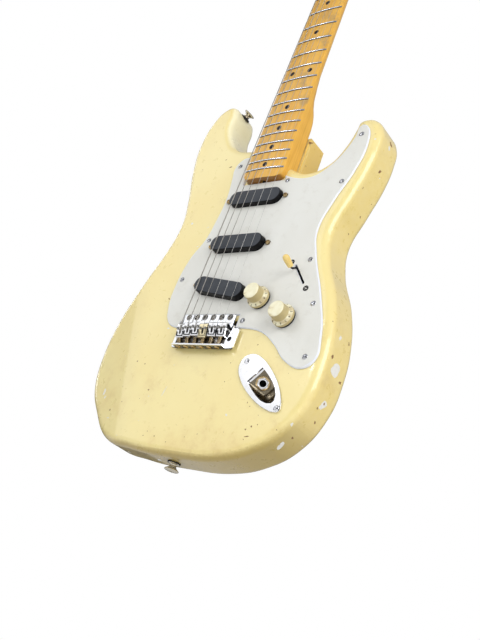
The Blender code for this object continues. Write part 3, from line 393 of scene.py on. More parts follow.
def maple():
    s = Shader("amber_maple")
    x, y, z = s.split(s.place)
    grain = s.noise(26.0, 5.0, s.scaled(6.0, 6.0, 0.35), distortion=0.6)
    pore = s.noise(120.0, 4.0, s.scaled(5.0, 5.0, 0.10))
    flame = s.wave(9.0, 5.0, s.scaled(0.6, 0.6, 1.6))
    colour = s.mix(s.ramp(grain, 0.35, 0.70), (0.800, 0.460, 0.080), (0.700, 0.360, 0.050))
    colour = s.over(colour, (0.420, 0.185, 0.020), s.ramp(pore, 0.50, 0.75, 0.0, 0.35))
    colour = s.over(colour, (0.900, 0.500, 0.090), flame, 0.20)
    board = s.math("LESS_THAN", y, front(BOARD_H - 0.0030))
    played = s.ramp(s.noise(34.0, 5.0, s.scaled(1.0, 1.0, 0.8), roughness=0.65), 0.50, 0.66)
    wear_and_sheen = s.times(played, s.ramp(x, -0.012, 0.020, 0.25, 1.0), board)
    colour = s.over(colour, (0.300, 0.225, 0.130), wear_and_sheen, 0.62)
    end_grain = s.ramp(s.split(s.normal)[2], -0.80, -0.45, 1.0, 0.0)
    heel = s.ramp(z, HEEL_Z + 0.010, HEEL_Z + 0.014, 1.0, 0.0)
    colour = s.over(colour, (0.250, 0.095, 0.018), end_grain, heel, 0.85)
    s.set(Base_Color=colour, Roughness=s.ramp(grain, 0.3, 0.7, 0.28, 0.38), Coat_Weight=0.15,
          Coat_Roughness=0.12, Specular_IOR_Level=0.30)
    s.bump(s.raised(wear_and_sheen, -0.6, pore), 0.08, 0.0004)
    return s.material


def vinyl():
    s = Shader("aged_white_vinyl")
    colour = s.mix(s.ramp(s.noise(14.0, 4.0), 0.35, 0.7), (0.735, 0.738, 0.700), (0.700, 0.698, 0.650))
    mottle = s.ramp(s.noise(75.0, 7.0, roughness=0.7), 0.52, 0.78)
    colour = s.over(colour, (0.480, 0.450, 0.380), mottle, 0.30)
    # Painted highlight: a bluish white sheen where the guard's top bevels down at its edge
    colour = s.over(colour, (0.780, 0.810, 0.890), s.ramp(s.facing(), 0.970, 0.998, 1.0, 0.0))
    colour = s.over(colour, (0.38, 0.26, 0.15), s.specks(60.0, 0, 0.90, 1.0, 0.06), 0.8)
    scratch = s.noise(300.0, 2.0, s.scaled(1.0, 1.0, 0.05))
    s.set(Base_Color=colour, Roughness=s.ramp(scratch, 0.4, 0.7, 0.34, 0.46), Specular_IOR_Level=0.4)
    s.bump(s.math("ADD", s.noise(420.0, 2.0), scratch), 0.05)
    return s.material


def moulded(s, colour, low, high, specular, bump=0.06):
    """The fine unevenness that all moulded plastic shares, under a colour of its own."""
    s.set(Base_Color=colour, Roughness=s.ramp(s.noise(180.0, 3.0), 0.3, 0.7, low, high),
          Specular_IOR_Level=specular)
    s.bump(s.noise(900.0, 3.0), bump)
    return s.material


def dial():
    """Aged plastic of a knob: pale on top and on the skirt, darker round the fluted side."""
    s = Shader("aged_dial_plastic")
    colour = s.mix(s.ramp(s.noise(120.0, 5.0), 0.35, 0.7), (0.880, 0.850, 0.640), (0.810, 0.760, 0.520))
    streak = s.ramp(s.noise(60.0, 4.0, s.scaled(0.5, 1.0, 1.6)), 0.44, 0.58)
    colour = s.over(colour, (0.420, 0.290, 0.110), streak, 0.60)
    side_tone = s.mix(s.noise(40.0, 3.0), (0.600, 0.510, 0.270), (0.380, 0.290, 0.120))
    colour = s.over(colour, side_tone, s.ramp(s.facing(), 0.15, 0.50, 1.0, 0.0))
    return moulded(s, colour, 0.34, 0.46, 0.35)


def plastic(name, colour, dark, roughness, bump=0.06, specular=0.5):
    s = Shader(name)
    shade = s.mix(s.ramp(s.noise(70.0, 5.0), 0.35, 0.7, 0.0, 0.45), colour, dark)
    return moulded(s, shade, roughness - 0.05, roughness + 0.08, specular, bump)


def moulded_black():
    """Black cover plastic, with a painted blue grey sheen on the top where the lamps reflect."""
    s = Shader("black_moulded_plastic")
    # Painted highlight: tops that face out are painted a blue grey sheen where the lamps reflect
    wear_and_sheen = s.mix(s.noise(90.0, 5.0), (0.058, 0.065, 0.078), (0.040, 0.045, 0.054))
    colour = s.over((0.003, 0.003, 0.004), wear_and_sheen, s.ramp(s.facing(), 0.60, 0.96))
    s.set(Base_Color=colour, Roughness=s.ramp(s.noise(180.0), 0.3, 0.7, 0.36, 0.48), Specular_IOR_Level=0.14)
    s.bump(s.noise(900.0, 3.0), 0.06)
    return s.material


def metal(name, colour, tarnish, roughness, wear=0.3, brushed=False):
    s = Shader(name)
    dull = s.ramp(s.noise(140.0, 6.0, roughness=0.7), 0.48, 0.75, 0.0, wear)
    s.set(Base_Color=s.mix(dull, colour, tarnish), Metallic=1.0, Roughness=s.raised(dull, 0.35, roughness))
    s.bump(s.noise(700.0, 2.0, s.scaled(1.0, 1.0, 0.06) if brushed else None), 0.10 if brushed else 0.03)
    return s.material


def fret_wire():
    """Polished fret wire, with painted shade darkening its lower side where it meets the board."""
    s = Shader("fret_wire")
    dull = s.ramp(s.noise(140.0, 6.0, roughness=0.7), 0.48, 0.75, 0.0, 0.4)
    colour = s.mix(dull, (0.780, 0.840, 0.930), (0.480, 0.480, 0.460))
    # Painted shade: the side of each fret that faces down is painted dark and dull
    grime_and_shade = s.ramp(s.split(s.normal)[2], -0.45, -0.85)
    s.set(Base_Color=s.mix(grime_and_shade, colour, (0.030, 0.026, 0.022)), Metallic=s.ramp(grime_and_shade, 0.0, 1.0, 1.0, 0.2),
          Roughness=s.raised(grime_and_shade, 0.4, 0.18))
    s.bump(s.noise(700.0, 2.0), 0.03)
    return s.material


def bridge_chrome():
    """Chrome plate with painted shade under the springs and down the back of the lip."""
    s = Shader("bridge_chrome")
    x, y, z = s.split(s.place)
    patchy = s.ramp(s.noise(160.0, 5.0), 0.30, 0.55, 0.55, 1.0)
    # Painted shade: the band of plate under the springs, between the saddles and the lip, and the lip's
    # downward back are darkened
    spring_shadow = s.times(s.ramp(z, PLATE_REAR_Z + 0.0300, PLATE_REAR_Z + 0.0265),
                            s.ramp(z, PLATE_REAR_Z + 0.0010, PLATE_REAR_Z + 0.0022),
                            s.times(s.ramp(x, 0.0345, 0.0325), s.ramp(x, -0.0345, -0.0325)))
    lip_back_shade = s.times(s.ramp(s.split(s.normal)[2], -0.5, -0.8), s.ramp(y, front(0.0100), front(0.0088)))
    grime_and_shade = s.times(patchy, s.math("MAXIMUM", spring_shadow, lip_back_shade))
    s.set(Base_Color=s.mix(grime_and_shade, (0.860, 0.880, 0.920), (0.050, 0.042, 0.034)), Metallic=1.0,
          Roughness=s.raised(grime_and_shade, 0.35, 0.07))
    s.bump(s.noise(700.0, 2.0), 0.03)
    return s.material


def wound():
    """Steel wire with a fine winding across it."""
    s = Shader("wound_string")
    turns = s.wave(900.0, 0.0)
    s.set(Base_Color=s.mix(turns, (0.56, 0.54, 0.50), (0.30, 0.28, 0.255)), Metallic=1.0, Roughness=0.36)
    s.bump(turns, 0.6)
    return s.material


def chip(name, colour, dark):
    s = Shader(name)
    s.set(Base_Color=s.mix(s.noise(420.0, 5.0), colour, dark), Roughness=0.62)
    s.bump(s.noise(600.0, 4.0), 0.4, 0.0003)
    return s.material


LOOK = {
    "lacquer": lacquer(),
    "maple": maple(),
    "guard": vinyl(),
    "black": moulded_black(),
    "amber": plastic("amber_tip_plastic", (0.850, 0.660, 0.250), (0.740, 0.480, 0.110), 0.26),
    "chrome": metal("chrome_plate", (0.860, 0.870, 0.900), (0.560, 0.530, 0.470), 0.07, 0.25),
    # Dark chrome used as painted shade inside the jack plate's bowl
    "painted_shade_chrome": metal("shaded_chrome", (0.200, 0.170, 0.120), (0.070, 0.055, 0.035), 0.26, 0.8),
    "yellowed_chrome": metal("yellowed_chrome", (0.860, 0.760, 0.500), (0.560, 0.430, 0.200), 0.18, 0.5),
    "brass": metal("aged_brass", (0.560, 0.420, 0.220), (0.220, 0.140, 0.065), 0.26, 0.7),
    "dial": dial(),
    "steel": metal("plain_steel", (0.420, 0.410, 0.390), (0.200, 0.170, 0.130), 0.30, 0.7, brushed=True),
    "nickel": metal("aged_nickel", (0.640, 0.590, 0.480), (0.340, 0.270, 0.170), 0.20, 0.6),
    "fret": fret_wire(),
    "bridge_chrome": bridge_chrome(),
    "pivot": metal("pivot_screw_plate", (0.330, 0.320, 0.300), (0.150, 0.110, 0.070), 0.14, 0.7),
    "screw": metal("screw_plate", (0.560, 0.570, 0.600), (0.300, 0.280, 0.250), 0.12, 0.6),
    "string": metal("string_steel", (0.440, 0.430, 0.415), (0.280, 0.265, 0.240), 0.42, 0.5),
    "wound": wound(),
    "blackened": metal("blackened_steel", (0.060, 0.058, 0.055), (0.150, 0.130, 0.110), 0.35, 0.5),
    "bone": plastic("bone", (0.800, 0.740, 0.580), (0.640, 0.540, 0.360), 0.40),
    "dot": plastic("black_inlay", (0.006, 0.007, 0.012), (0.016, 0.016, 0.020), 0.42, specular=0.2),
    # Real black washers, and also painted shade in screw recesses, saddle slots and under the knobs
    "felt_and_shade": plastic("black_felt", (0.015, 0.014, 0.014), (0.035, 0.033, 0.031), 0.90, bump=0.7),
    "walnut": plastic("walnut_stripe", (0.095, 0.042, 0.018), (0.048, 0.020, 0.009), 0.34),
    "primer": chip("chipped_to_primer", (0.830, 0.820, 0.780), (0.700, 0.680, 0.620)),
    "wood": chip("chipped_to_wood", (0.330, 0.180, 0.075), (0.170, 0.085, 0.035)),
    "numeral": plastic("dial_numerals", (0.014, 0.015, 0.010), (0.035, 0.033, 0.018), 0.60, specular=0.2),
}


# Geometry helpers

def piece(name, shape, look, body="guitar_body", replaces=(), smooth=32, weighted=False):
    """A finished piece: its material and shading, the body it rides on and the nodes it stands for."""
    data = as_mesh(shape, name) if isinstance(shape, bmesh.types.BMesh) else shape
    obj = linked(name, data)
    data.materials.clear()
    data.materials.append(LOOK[look])
    data.shade_smooth()
    data.set_sharp_from_angle(angle=math.radians(smooth))
    if weighted:
        obj.modifiers.new("Flat_faces_stay_flat", "WEIGHTED_NORMAL").keep_sharp = True
    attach(obj, body)
    if replaces:
        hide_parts(*replaces)
    return obj


def outline(points, steps):
    """A dense closed loop of (x, z) through points, smooth except at corners."""
    curve = bpy.data.curves.new("outline", "CURVE")
    curve.dimensions = "2D"
    curve.fill_mode = "NONE"
    curve.resolution_u = steps
    spline = curve.splines.new("BEZIER")
    spline.bezier_points.add(len(points) - 1)
    for knot, point in zip(spline.bezier_points, points):
        knot.co = (point[0], point[1], 0.0)
        kind = "VECTOR" if len(point) > 2 else "AUTO"
        knot.handle_left_type = kind
        knot.handle_right_type = kind
    spline.use_cyclic_u = True
    loop = np.array([vertex.co[:2] for vertex in baked(linked("outline", curve)).vertices])
    keep = np.linalg.norm(loop - np.roll(loop, 1, axis=0), axis=1) > 0.00002
    return anticlockwise(loop[keep])


def anticlockwise(loop):
    area = np.sum(loop[:, 0] * np.roll(loop[:, 1], -1) - np.roll(loop[:, 0], -1) * loop[:, 1])
    return loop if area > 0 else loop[::-1]


def mirrored(side):
    """The points of the other side, in the order that goes on round the outline."""
    return [(-x, z) for x, z in reversed(side)]


def even(loop, spacing):
    """The loop with points at an even spacing."""
    closed = np.vstack([loop, loop[:1]])
    along = np.concatenate([[0], np.cumsum(np.linalg.norm(np.diff(closed, axis=0), axis=1))])
    count = max(int(along[-1] / spacing), 8)
    wanted = np.linspace(0, along[-1], count, endpoint=False)
    return np.stack([np.interp(wanted, along, closed[:, axis]) for axis in (0, 1)], axis=1)


def outward(loop):
    """Unit normals that point out of an anticlockwise loop."""
    before = loop - np.roll(loop, 1, axis=0)
    after = np.roll(loop, -1, axis=0) - loop
    before /= np.linalg.norm(before, axis=1, keepdims=True)
    after /= np.linalg.norm(after, axis=1, keepdims=True)
    tangent = before + after
    tangent /= np.linalg.norm(tangent, axis=1, keepdims=True)
    mitre = 1 / np.maximum(np.sum(tangent * after, axis=1, keepdims=True), 0.5)
    return np.stack([tangent[:, 1], -tangent[:, 0]], axis=1) * mitre


def prism(loop, levels, place=None):
    """A closed solid from a loop of (x, z): levels are (inset, h), from the back to the front."""
    place = place or STILL
    shape = bmesh.new()
    push = outward(loop)
    rings = []
    for inset, h in levels:
        ring = loop - push * np.reshape(inset, (-1, 1))
        heights = np.broadcast_to(h, len(ring))
        rings.append([shape.verts.new(place @ Vector((x, front(height), z)))
                      for (x, z), height in zip(ring, heights)])
    skin(shape, rings, backwards=True)
    return shape


def bridge_rings(shape, rings, closed=True):
    for ring, following in zip(rings, rings[1:]):
        for index in range(len(ring) if closed else len(ring) - 1):
            after = (index + 1) % len(ring)
            shape.faces.new((ring[index], ring[after], following[after], following[index]))


def skin(shape, rings, backwards=False):
    """Faces between the rings and over both ends, turned to look outwards."""
    bridge_rings(shape, rings)
    shape.faces.new(rings[0] if backwards else reversed(rings[0]))
    shape.faces.new(reversed(rings[-1]) if backwards else rings[-1])
    bmesh.ops.recalc_face_normals(shape, faces=shape.faces)


def moved(shape, matrix):
    bmesh.ops.transform(shape, matrix=matrix, verts=shape.verts)
    return shape


def disc(shape, middle, inner, outer):
    """Faces from a middle point through an inner ring to an outer one."""
    for step in range(len(inner)):
        after = (step + 1) % len(inner)
        shape.faces.new((middle, inner[step], inner[after]))
        shape.faces.new((inner[step], outer[step], outer[after], inner[after]))


def stadium(length, width, steps=12):
    radius = width / 2
    reach = length / 2 - radius
    points = []
    for side, start in ((1, -90), (-1, 90)):
        for step in range(steps + 1):
            angle = math.radians(start + 180 * step / steps)
            points.append((side * reach + radius * math.cos(angle), radius * math.sin(angle)))
    return np.array(points)


def rounded(corners, radius, steps=5):
    """A polygon with rounded corners; a corner may carry its own radius."""
    points = []
    for index, corner in enumerate(corners):
        here = Vector(corner[:2])
        before = (Vector(corners[index - 1][:2]) - here).normalized()
        after = (Vector(corners[(index + 1) % len(corners)][:2]) - here).normalized()
        size = corner[2] if len(corner) > 2 else radius
        half = before.angle(after) / 2
        start = here + before * size / math.tan(half)
        end = here + after * size / math.tan(half)
        centre = here + (before + after).normalized() * size / math.sin(half)
        for step in range(steps + 1):
            way = (start - centre).lerp(end - centre, step / steps).normalized()
            points.append(centre + way * size)
    return anticlockwise(np.array([tuple(point) for point in points]))


def turned_in_plane(x, z, angle):
    return Matrix.Translation((x, 0, z)) @ Matrix.Rotation(-angle, 4, "Y")


def lathe(profile, segments=48, flute=None):
    """A solid turned about local Z from (radius, height) points, from the top down to the underside."""
    shape = bmesh.new()
    rings = []
    for radius, height in profile:
        if radius < 1e-6:
            rings.append([shape.verts.new((0, 0, height))])
            continue
        ring = []
        for step in range(segments):
            angle = 2 * math.pi * step / segments
            size = radius * (flute(angle, height) if flute else 1.0)
            ring.append(shape.verts.new((size * math.cos(angle), size * math.sin(angle), height)))
        rings.append(ring)
    for ring, following in zip(rings, rings[1:]):
        wide = ring if len(ring) > 1 else following
        for index in range(len(wide)):
            after = (index + 1) % len(wide)
            if len(ring) == 1:
                shape.faces.new((ring[0], following[index], following[after]))
            elif len(following) == 1:
                shape.faces.new((ring[index], following[0], ring[after]))
            else:
                shape.faces.new((ring[index], following[index], following[after], ring[after]))
    bmesh.ops.recalc_face_normals(shape, faces=shape.faces)
    return shape


def aimed(position, direction, spin=0.0):
    """A placement whose local Z points along direction."""
    turn = Vector(direction).normalized().to_track_quat("Z", "Y").to_matrix().to_4x4()
    return Matrix.Translation(position) @ turn @ Matrix.Rotation(spin, 4, "Z")


def merged(shapes):
    """One bmesh out of (bmesh or mesh, matrix) pairs; a mesh may be used many times."""
    whole = bmesh.new()
    for source, matrix in shapes:
        copy = as_mesh(source) if isinstance(source, bmesh.types.BMesh) else source.copy()
        copy.transform(matrix)
        whole.from_mesh(copy)
        bpy.data.meshes.remove(copy)
    return whole


def as_mesh(shape, name="shape"):
    data = bpy.data.meshes.new(name)
    shape.to_mesh(data)
    shape.free()
    return data


def carved(shape, cutters, operation="DIFFERENCE"):
    """The shape after Booleans with each cutter, as a mesh."""
    obj = linked("carved", as_mesh(shape))
    helpers = [linked("cutter", as_mesh(cutter)) for cutter in cutters]
    for helper in helpers:
        change = obj.modifiers.new("cut", "BOOLEAN")
        change.operation = operation
        change.solver = "MANIFOLD"
        change.object = helper
    return baked(obj, *helpers)


def to_bmesh(data):
    shape = bmesh.new()
    shape.from_mesh(data)
    return shape


def block(low, high):
    shape = bmesh.new()
    bmesh.ops.create_cube(shape, size=1.0)
    size = [abs(far - near) for near, far in zip(low, high)]
    middle = (Vector(low) + Vector(high)) / 2
    return moved(shape, Matrix.Translation(middle) @ Matrix.Diagonal((*size, 1)))


def cylinder(radius, start, end, sides=24, radius_end=None):
    start, end = Vector(start), Vector(end)
    shape = bmesh.new()
    turn = (end - start).to_track_quat("Z", "Y").to_matrix().to_4x4()
    bmesh.ops.create_cone(
        shape, cap_ends=True, segments=sides, radius1=radius,
        radius2=radius if radius_end is None else radius_end, depth=(end - start).length,
        matrix=Matrix.Translation((start + end) / 2) @ turn,
    )
    return shape


def wire(points, radius, sides=8):
    """A round wire along points."""
    points = [Vector(point) for point in points]
    shape = bmesh.new()
    rings = []
    across = None
    for index, point in enumerate(points):
        way = (points[min(index + 1, len(points) - 1)] - points[max(index - 1, 0)]).normalized()
        if across is None:
            across = way.orthogonal().normalized()
        across = (across - way * across.dot(way)).normalized()
        other = way.cross(across)
        ring = []
        for side in range(sides):
            angle = 2 * math.pi * side / sides
            outwards = across * math.cos(angle) + other * math.sin(angle)
            ring.append(shape.verts.new(point + outwards * radius))
        rings.append(ring)
    skin(shape, rings)
    return shape


def helix(radius, pitch, turns, wire_radius, place, steps=14):
    """A coil of wire along local Z."""
    points = []
    for step in range(int(turns * steps) + 1):
        angle = 2 * math.pi * step / steps
        spot = Vector((radius * math.cos(angle), radius * math.sin(angle), pitch * step / steps))
        points.append(place @ spot)
    return wire(points, wire_radius, 6)


def softened(shape, width, segments=2, degrees=40):
    """Rounds the sharp edges of a shape."""
    bmesh.ops.dissolve_limit(shape, angle_limit=0.001, verts=shape.verts, edges=shape.edges)
    sharp = math.radians(degrees)
    edges = [edge for edge in shape.edges if edge.is_manifold and edge.calc_face_angle(0) > sharp]
    bmesh.ops.bevel(shape, geom=edges, offset=width, segments=segments, affect="EDGES", clamp_overlap=True)
    return shape


def turned_piece(name, profile, place, look, body="guitar_body", replaces=(), smooth=40, segments=32,
                 flute=None):
    """A piece made by lathe() and put in its place."""
    return piece(name, moved(lathe(profile, segments, flute), place), look, body, replaces, smooth)


# Body

def smooth_ramp(distance, width):
    if distance <= -width:
        return 0.0
    if distance >= width:
        return distance
    return (distance + width) ** 2 / (4 * width)


def forearm_drop(x, z):
    outwards = (-0.128 - x) * 0.950 + (0.2015 - z) * 0.313
    return 0.20 * smooth_ramp(outwards, 0.015)


def belly_drop(x, z):
    along = (z - 0.285) / 0.125
    if abs(along) >= 1:
        return 0.0
    inwards = min(max((-0.062 - x) / 0.055, 0.0), 1.0)
    return 0.015 * (1 - along ** 2) ** 2 * inwards ** 2 * (3 - 2 * inwards)


def spread(values, reach):
    """A running average round a closed loop."""
    kernel = np.hanning(2 * reach + 3)[1:-1]
    wrapped = np.concatenate([values[-reach:], values, values[:reach]])
    return np.convolve(wrapped, kernel / kernel.sum(), mode="valid")


def roundover_inset(loop, radius):
    """How far the roundover reaches in at each point: less where the outline turns tightly."""
    after = np.roll(loop, -1, axis=0) - loop
    heading = np.unwrap(np.arctan2(after[:, 1], after[:, 0]))
    turn = (heading - np.roll(heading, 1) + math.pi) % (2 * math.pi) - math.pi
    bend = spread(turn / np.linalg.norm(after, axis=1), 3)
    room = 0.86 / np.maximum(bend, 1.0)
    inset = np.minimum(room, radius)
    for _ in range(8):
        inset = np.minimum(inset, spread(inset, 3))
    return spread(inset, 6)


def body_blank():
    loop = even(outline(BODY_OUTLINE, 24), 0.0026)
    inset = roundover_inset(loop, EDGE_R)
    levels = []
    steps = 7
    for step in range(steps + 1):
        angle = math.pi / 2 * step / steps
        levels.append((inset * (1 - math.sin(angle)), -BODY_T + EDGE_R * (1 - math.cos(angle))))
    for step in range(steps, -1, -1):
        angle = math.pi / 2 * step / steps
        levels.append((inset * (1 - math.sin(angle)), -EDGE_R * (1 - math.cos(angle))))
    shape = prism(loop, levels)
    planes = [((x / 1000, 0, 0), (1, 0, 0)) for x in range(-160, 156, 7)]
    planes += [((0, 0, z / 1000), (0, 0, 1)) for z in range(5, 456, 8)]
    for point, normal in planes:
        everything = shape.verts[:] + shape.edges[:] + shape.faces[:]
        bmesh.ops.bisect_plane(shape, geom=everything, plane_co=point, plane_no=normal)
    for vertex in shape.verts:
        x, y, z = vertex.co
        drop = forearm_drop(x, z) if y < 0 else belly_drop(x, z)
        vertex.co.y = y + drop * y / FRONT_Y
    bmesh.ops.triangulate(shape, faces=shape.faces)
    return shape


def neck_half_width(z):
    return HEEL_HALF + (NUT_HALF - HEEL_HALF) * (z - HEEL_Z) / (NUT_Z - HEEL_Z)


def pocket():
    start_z, end_z = HEEL_Z - POCKET_GAP, HEEL_END_Z + 0.010
    low = neck_half_width(HEEL_Z) + POCKET_GAP
    high = neck_half_width(end_z) + POCKET_GAP
    corners = [(-low, start_z, POCKET_CORNER_R), (low, start_z, POCKET_CORNER_R),
               (high, end_z, 0.0001), (-high, end_z, 0.0001)]
    return prism(rounded(corners, POCKET_CORNER_R, 8), [(0, -POCKET_DEPTH), (0, CUT_PAST)])


def jack_turn():
    return turned_in_plane(*JACK, JACK_ANGLE)


def jack_recess():
    corners = [*JACK_CAVITY_SIDE, *mirrored(JACK_CAVITY_SIDE)]
    return prism(rounded(corners, 0.002), [(0, -JACK_CAVITY_DEPTH), (0, CUT_PAST)], jack_turn())


def slab_box(left, right, low, high, low_h, high_h):
    return block((left, front(low_h), low), (right, front(high_h), high))


def make_body():
    tongue = softened(slab_box(*HEEL_TONGUE), 0.003, 4)
    bmesh.ops.triangulate(tongue, faces=tongue.faces)
    blank = to_bmesh(carved(body_blank(), [tongue], "UNION"))
    control = prism(outline(CONTROL_OUTLINE, 4), [(0, -CONTROL_DEPTH), (0, CUT_PAST)])
    cutters = [pocket(), control, jack_recess(), slab_box(*TREMOLO_WELL), slab_box(*SPRING_CAVITY)]
    data = carved(blank, cutters)
    return piece("guitar_body_shell", data, "lacquer", "guitar_body", ["body"], smooth=40, weighted=True)


BODY = make_body()
SURFACE = BVHTree.FromObject(BODY, bpy.context.evaluated_depsgraph_get())


def patch(shape, position, direction, size, stretch, angle, chance, lift=0.00008):
    """An irregular chip of the finish that follows the body's surface. direction is the way it faces."""
    direction = Vector(direction).normalized()
    across = direction.orthogonal().normalized()
    other = direction.cross(across)
    hit = SURFACE.ray_cast(Vector(position) + direction * 0.05, -direction)
    if hit[0] is None:
        return
    count = 13
    middle = shape.verts.new(hit[0] + hit[1] * lift)
    rims = []
    wobble = [chance.uniform(0.35, 1.45) for _ in range(count)]
    for share in (0.55, 1.0):
        ring = []
        for step in range(count):
            turn = 2 * math.pi * step / count
            reach = size * share * (wobble[step] * 0.6 + wobble[(step + 1) % count] * 0.4)
            u = reach * stretch * math.cos(turn)
            v = reach * math.sin(turn)
            side = u * math.cos(angle) - v * math.sin(angle)
            rise = u * math.sin(angle) + v * math.cos(angle)
            target = hit[0] + across * side + other * rise
            found = SURFACE.ray_cast(target + direction * 0.02, -direction)
            spot = found[0] if found[0] is not None else target
            up = found[1] if found[0] is not None else direction
            ring.append(shape.verts.new(spot + up * lift * (1.0 if share < 1 else 0.35)))
        rims.append(ring)
    disc(shape, middle, *rims)


def make_chips():
    """Chips down to the white undercoat and to the wood, where the guitar has them."""
    chance = random.Random(7)
    front_way, treble, low = (0, -1, 0), (0.9, -0.35, -0.1), (0, -0.45, -0.9)
    primer, wood = bmesh.new(), bmesh.new()
    white = [
        ((-0.119, 0, 0.066), (-0.4, -0.9, -0.2), 0.0022, 2.0),
        ((-0.114, 0, 0.061), (-0.4, -0.9, -0.3), 0.0012, 1.3),
        ((-0.027, 0, 0.065), front_way, 0.0006, 9.0), ((-0.088, 0, 0.275), front_way, 0.0013, 1.2),
        ((0.137, 0.004, 0.108), treble, 0.0044, 1.3), ((0.130, 0.008, 0.073), treble, 0.0030, 1.5),
        ((0.122, 0.006, 0.141), treble, 0.0017, 1.2), ((-0.070, 0, 0.000), low, 0.0014, 1.8),
        ((-0.022, 0, 0.000), low, 0.0018, 1.6), ((0.092, 0.000, 0.050), treble, 0.0016, 1.1),
        ((0.064, 0, 0.046), front_way, 0.0011, 1.2), ((0.108, 0, 0.030), treble, 0.0022, 1.5),
        ((0.133, 0, 0.364), treble, 0.0015, 1.4), ((-0.140, 0, 0.140), (-0.9, -0.4, 0), 0.0012, 1.4),
    ]
    brown = [
        ((-0.050, 0, 0.065), front_way, 0.0009, 1.2), ((-0.101, 0, 0.041), front_way, 0.0011, 1.1),
        ((0.132, 0.008, 0.076), treble, 0.0016, 1.3), ((0.117, 0.002, 0.119), treble, 0.0015, 1.5),
        ((-0.003, 0, 0.001), low, 0.0014, 1.4), ((0.117, 0.004, 0.335), treble, 0.0014, 1.8),
        ((0.125, 0.004, 0.372), treble, 0.0016, 2.0), ((0.082, 0, 0.314), front_way, 0.0009, 1.2),
        ((0.129, 0.010, 0.058), treble, 0.0013, 1.1), ((0.150, 0.012, 0.100), treble, 0.0016, 1.3),
        ((0.147, 0.012, 0.140), treble, 0.0011, 1.6), ((0.105, 0.006, 0.040), treble, 0.0012, 1.2),
        ((0.088, 0, 0.056), front_way, 0.0008, 1.1), ((0.098, 0, 0.037), front_way, 0.0009, 1.1),
        ((0.084, 0, 0.060), front_way, 0.0007, 1.3), ((0.072, 0, 0.120), front_way, 0.0007, 1.2),
    ]
    for position, way, size, stretch in white:
        patch(primer, position, way, size * 1.2, stretch, chance.uniform(0, 3.1), chance)
    for position, way, size, stretch in brown:
        patch(wood, position, way, size, stretch, chance.uniform(0, 3.1), chance)
    for _ in range(70):
        z = chance.uniform(0.010, 0.440)
        side = chance.choice((-1, 1, 1))
        way = Vector((side, chance.uniform(-1.0, 0.9), chance.uniform(-0.3, 0.3)))
        target = Vector((0.04 * side, chance.uniform(-0.012, 0.012), z))
        patch(chance.choice((primer, wood)), target + way.normalized() * 0.10, way,
              chance.uniform(0.0004, 0.0010), chance.uniform(1.0, 2.2), chance.uniform(0, 3.1), chance)
    for _ in range(26):
        x, z = chance.uniform(-0.14, 0.14), chance.uniform(0.01, 0.12)
        kind = chance.choice((wood, wood, primer))
        patch(kind, (x, 0, z), front_way, chance.uniform(0.0003, 0.0007), 1.2, chance.uniform(0, 3.1), chance)
    piece("chips_to_undercoat", primer, "primer")
    piece("chips_to_wood", wood, "wood")


make_chips()


# Neck

def neck_profile(z):
    """Thickness, squareness and depth of the board's edge at z."""
    knots = np.array(NECK_KNOTS)
    return [float(np.interp(z - HEEL_Z, knots[:, 0], knots[:, column])) for column in (1, 2, 3)]


def neck_section(half, thickness, squareness, top_h=BOARD_H, board_edge=0.0055):
    """One cross-section as (x, h), from the bass edge over the board and round the back."""
    soft = 0.0010
    points = []
    across = 16
    for step in range(across + 1):
        x = (half - soft) * (2 * step / across - 1)
        points.append((x, top_h - x * x / (2 * BOARD_R)))
    shoulder = top_h - half * half / (2 * BOARD_R)
    for step in (1, 2, 3):
        angle = math.pi / 2 * step / 3
        points.append((half - soft + soft * math.sin(angle), shoulder - soft * (1 - math.cos(angle))))
    edge_h = shoulder - board_edge
    depth = thickness - (top_h - edge_h)
    around = 40
    for step in range(around + 1):
        angle = math.pi * step / around
        reach = abs(math.cos(angle)) ** (2 / squareness) * math.copysign(1, math.cos(angle))
        drop = math.sin(angle) ** (2 / squareness) if step not in (0, around) else 0.0
        points.append((half * reach, edge_h - depth * drop))
    for step in (3, 2, 1):
        angle = math.pi / 2 * step / 3
        points.append((-half + soft - soft * math.sin(angle), shoulder - soft * (1 - math.cos(angle))))
    return points


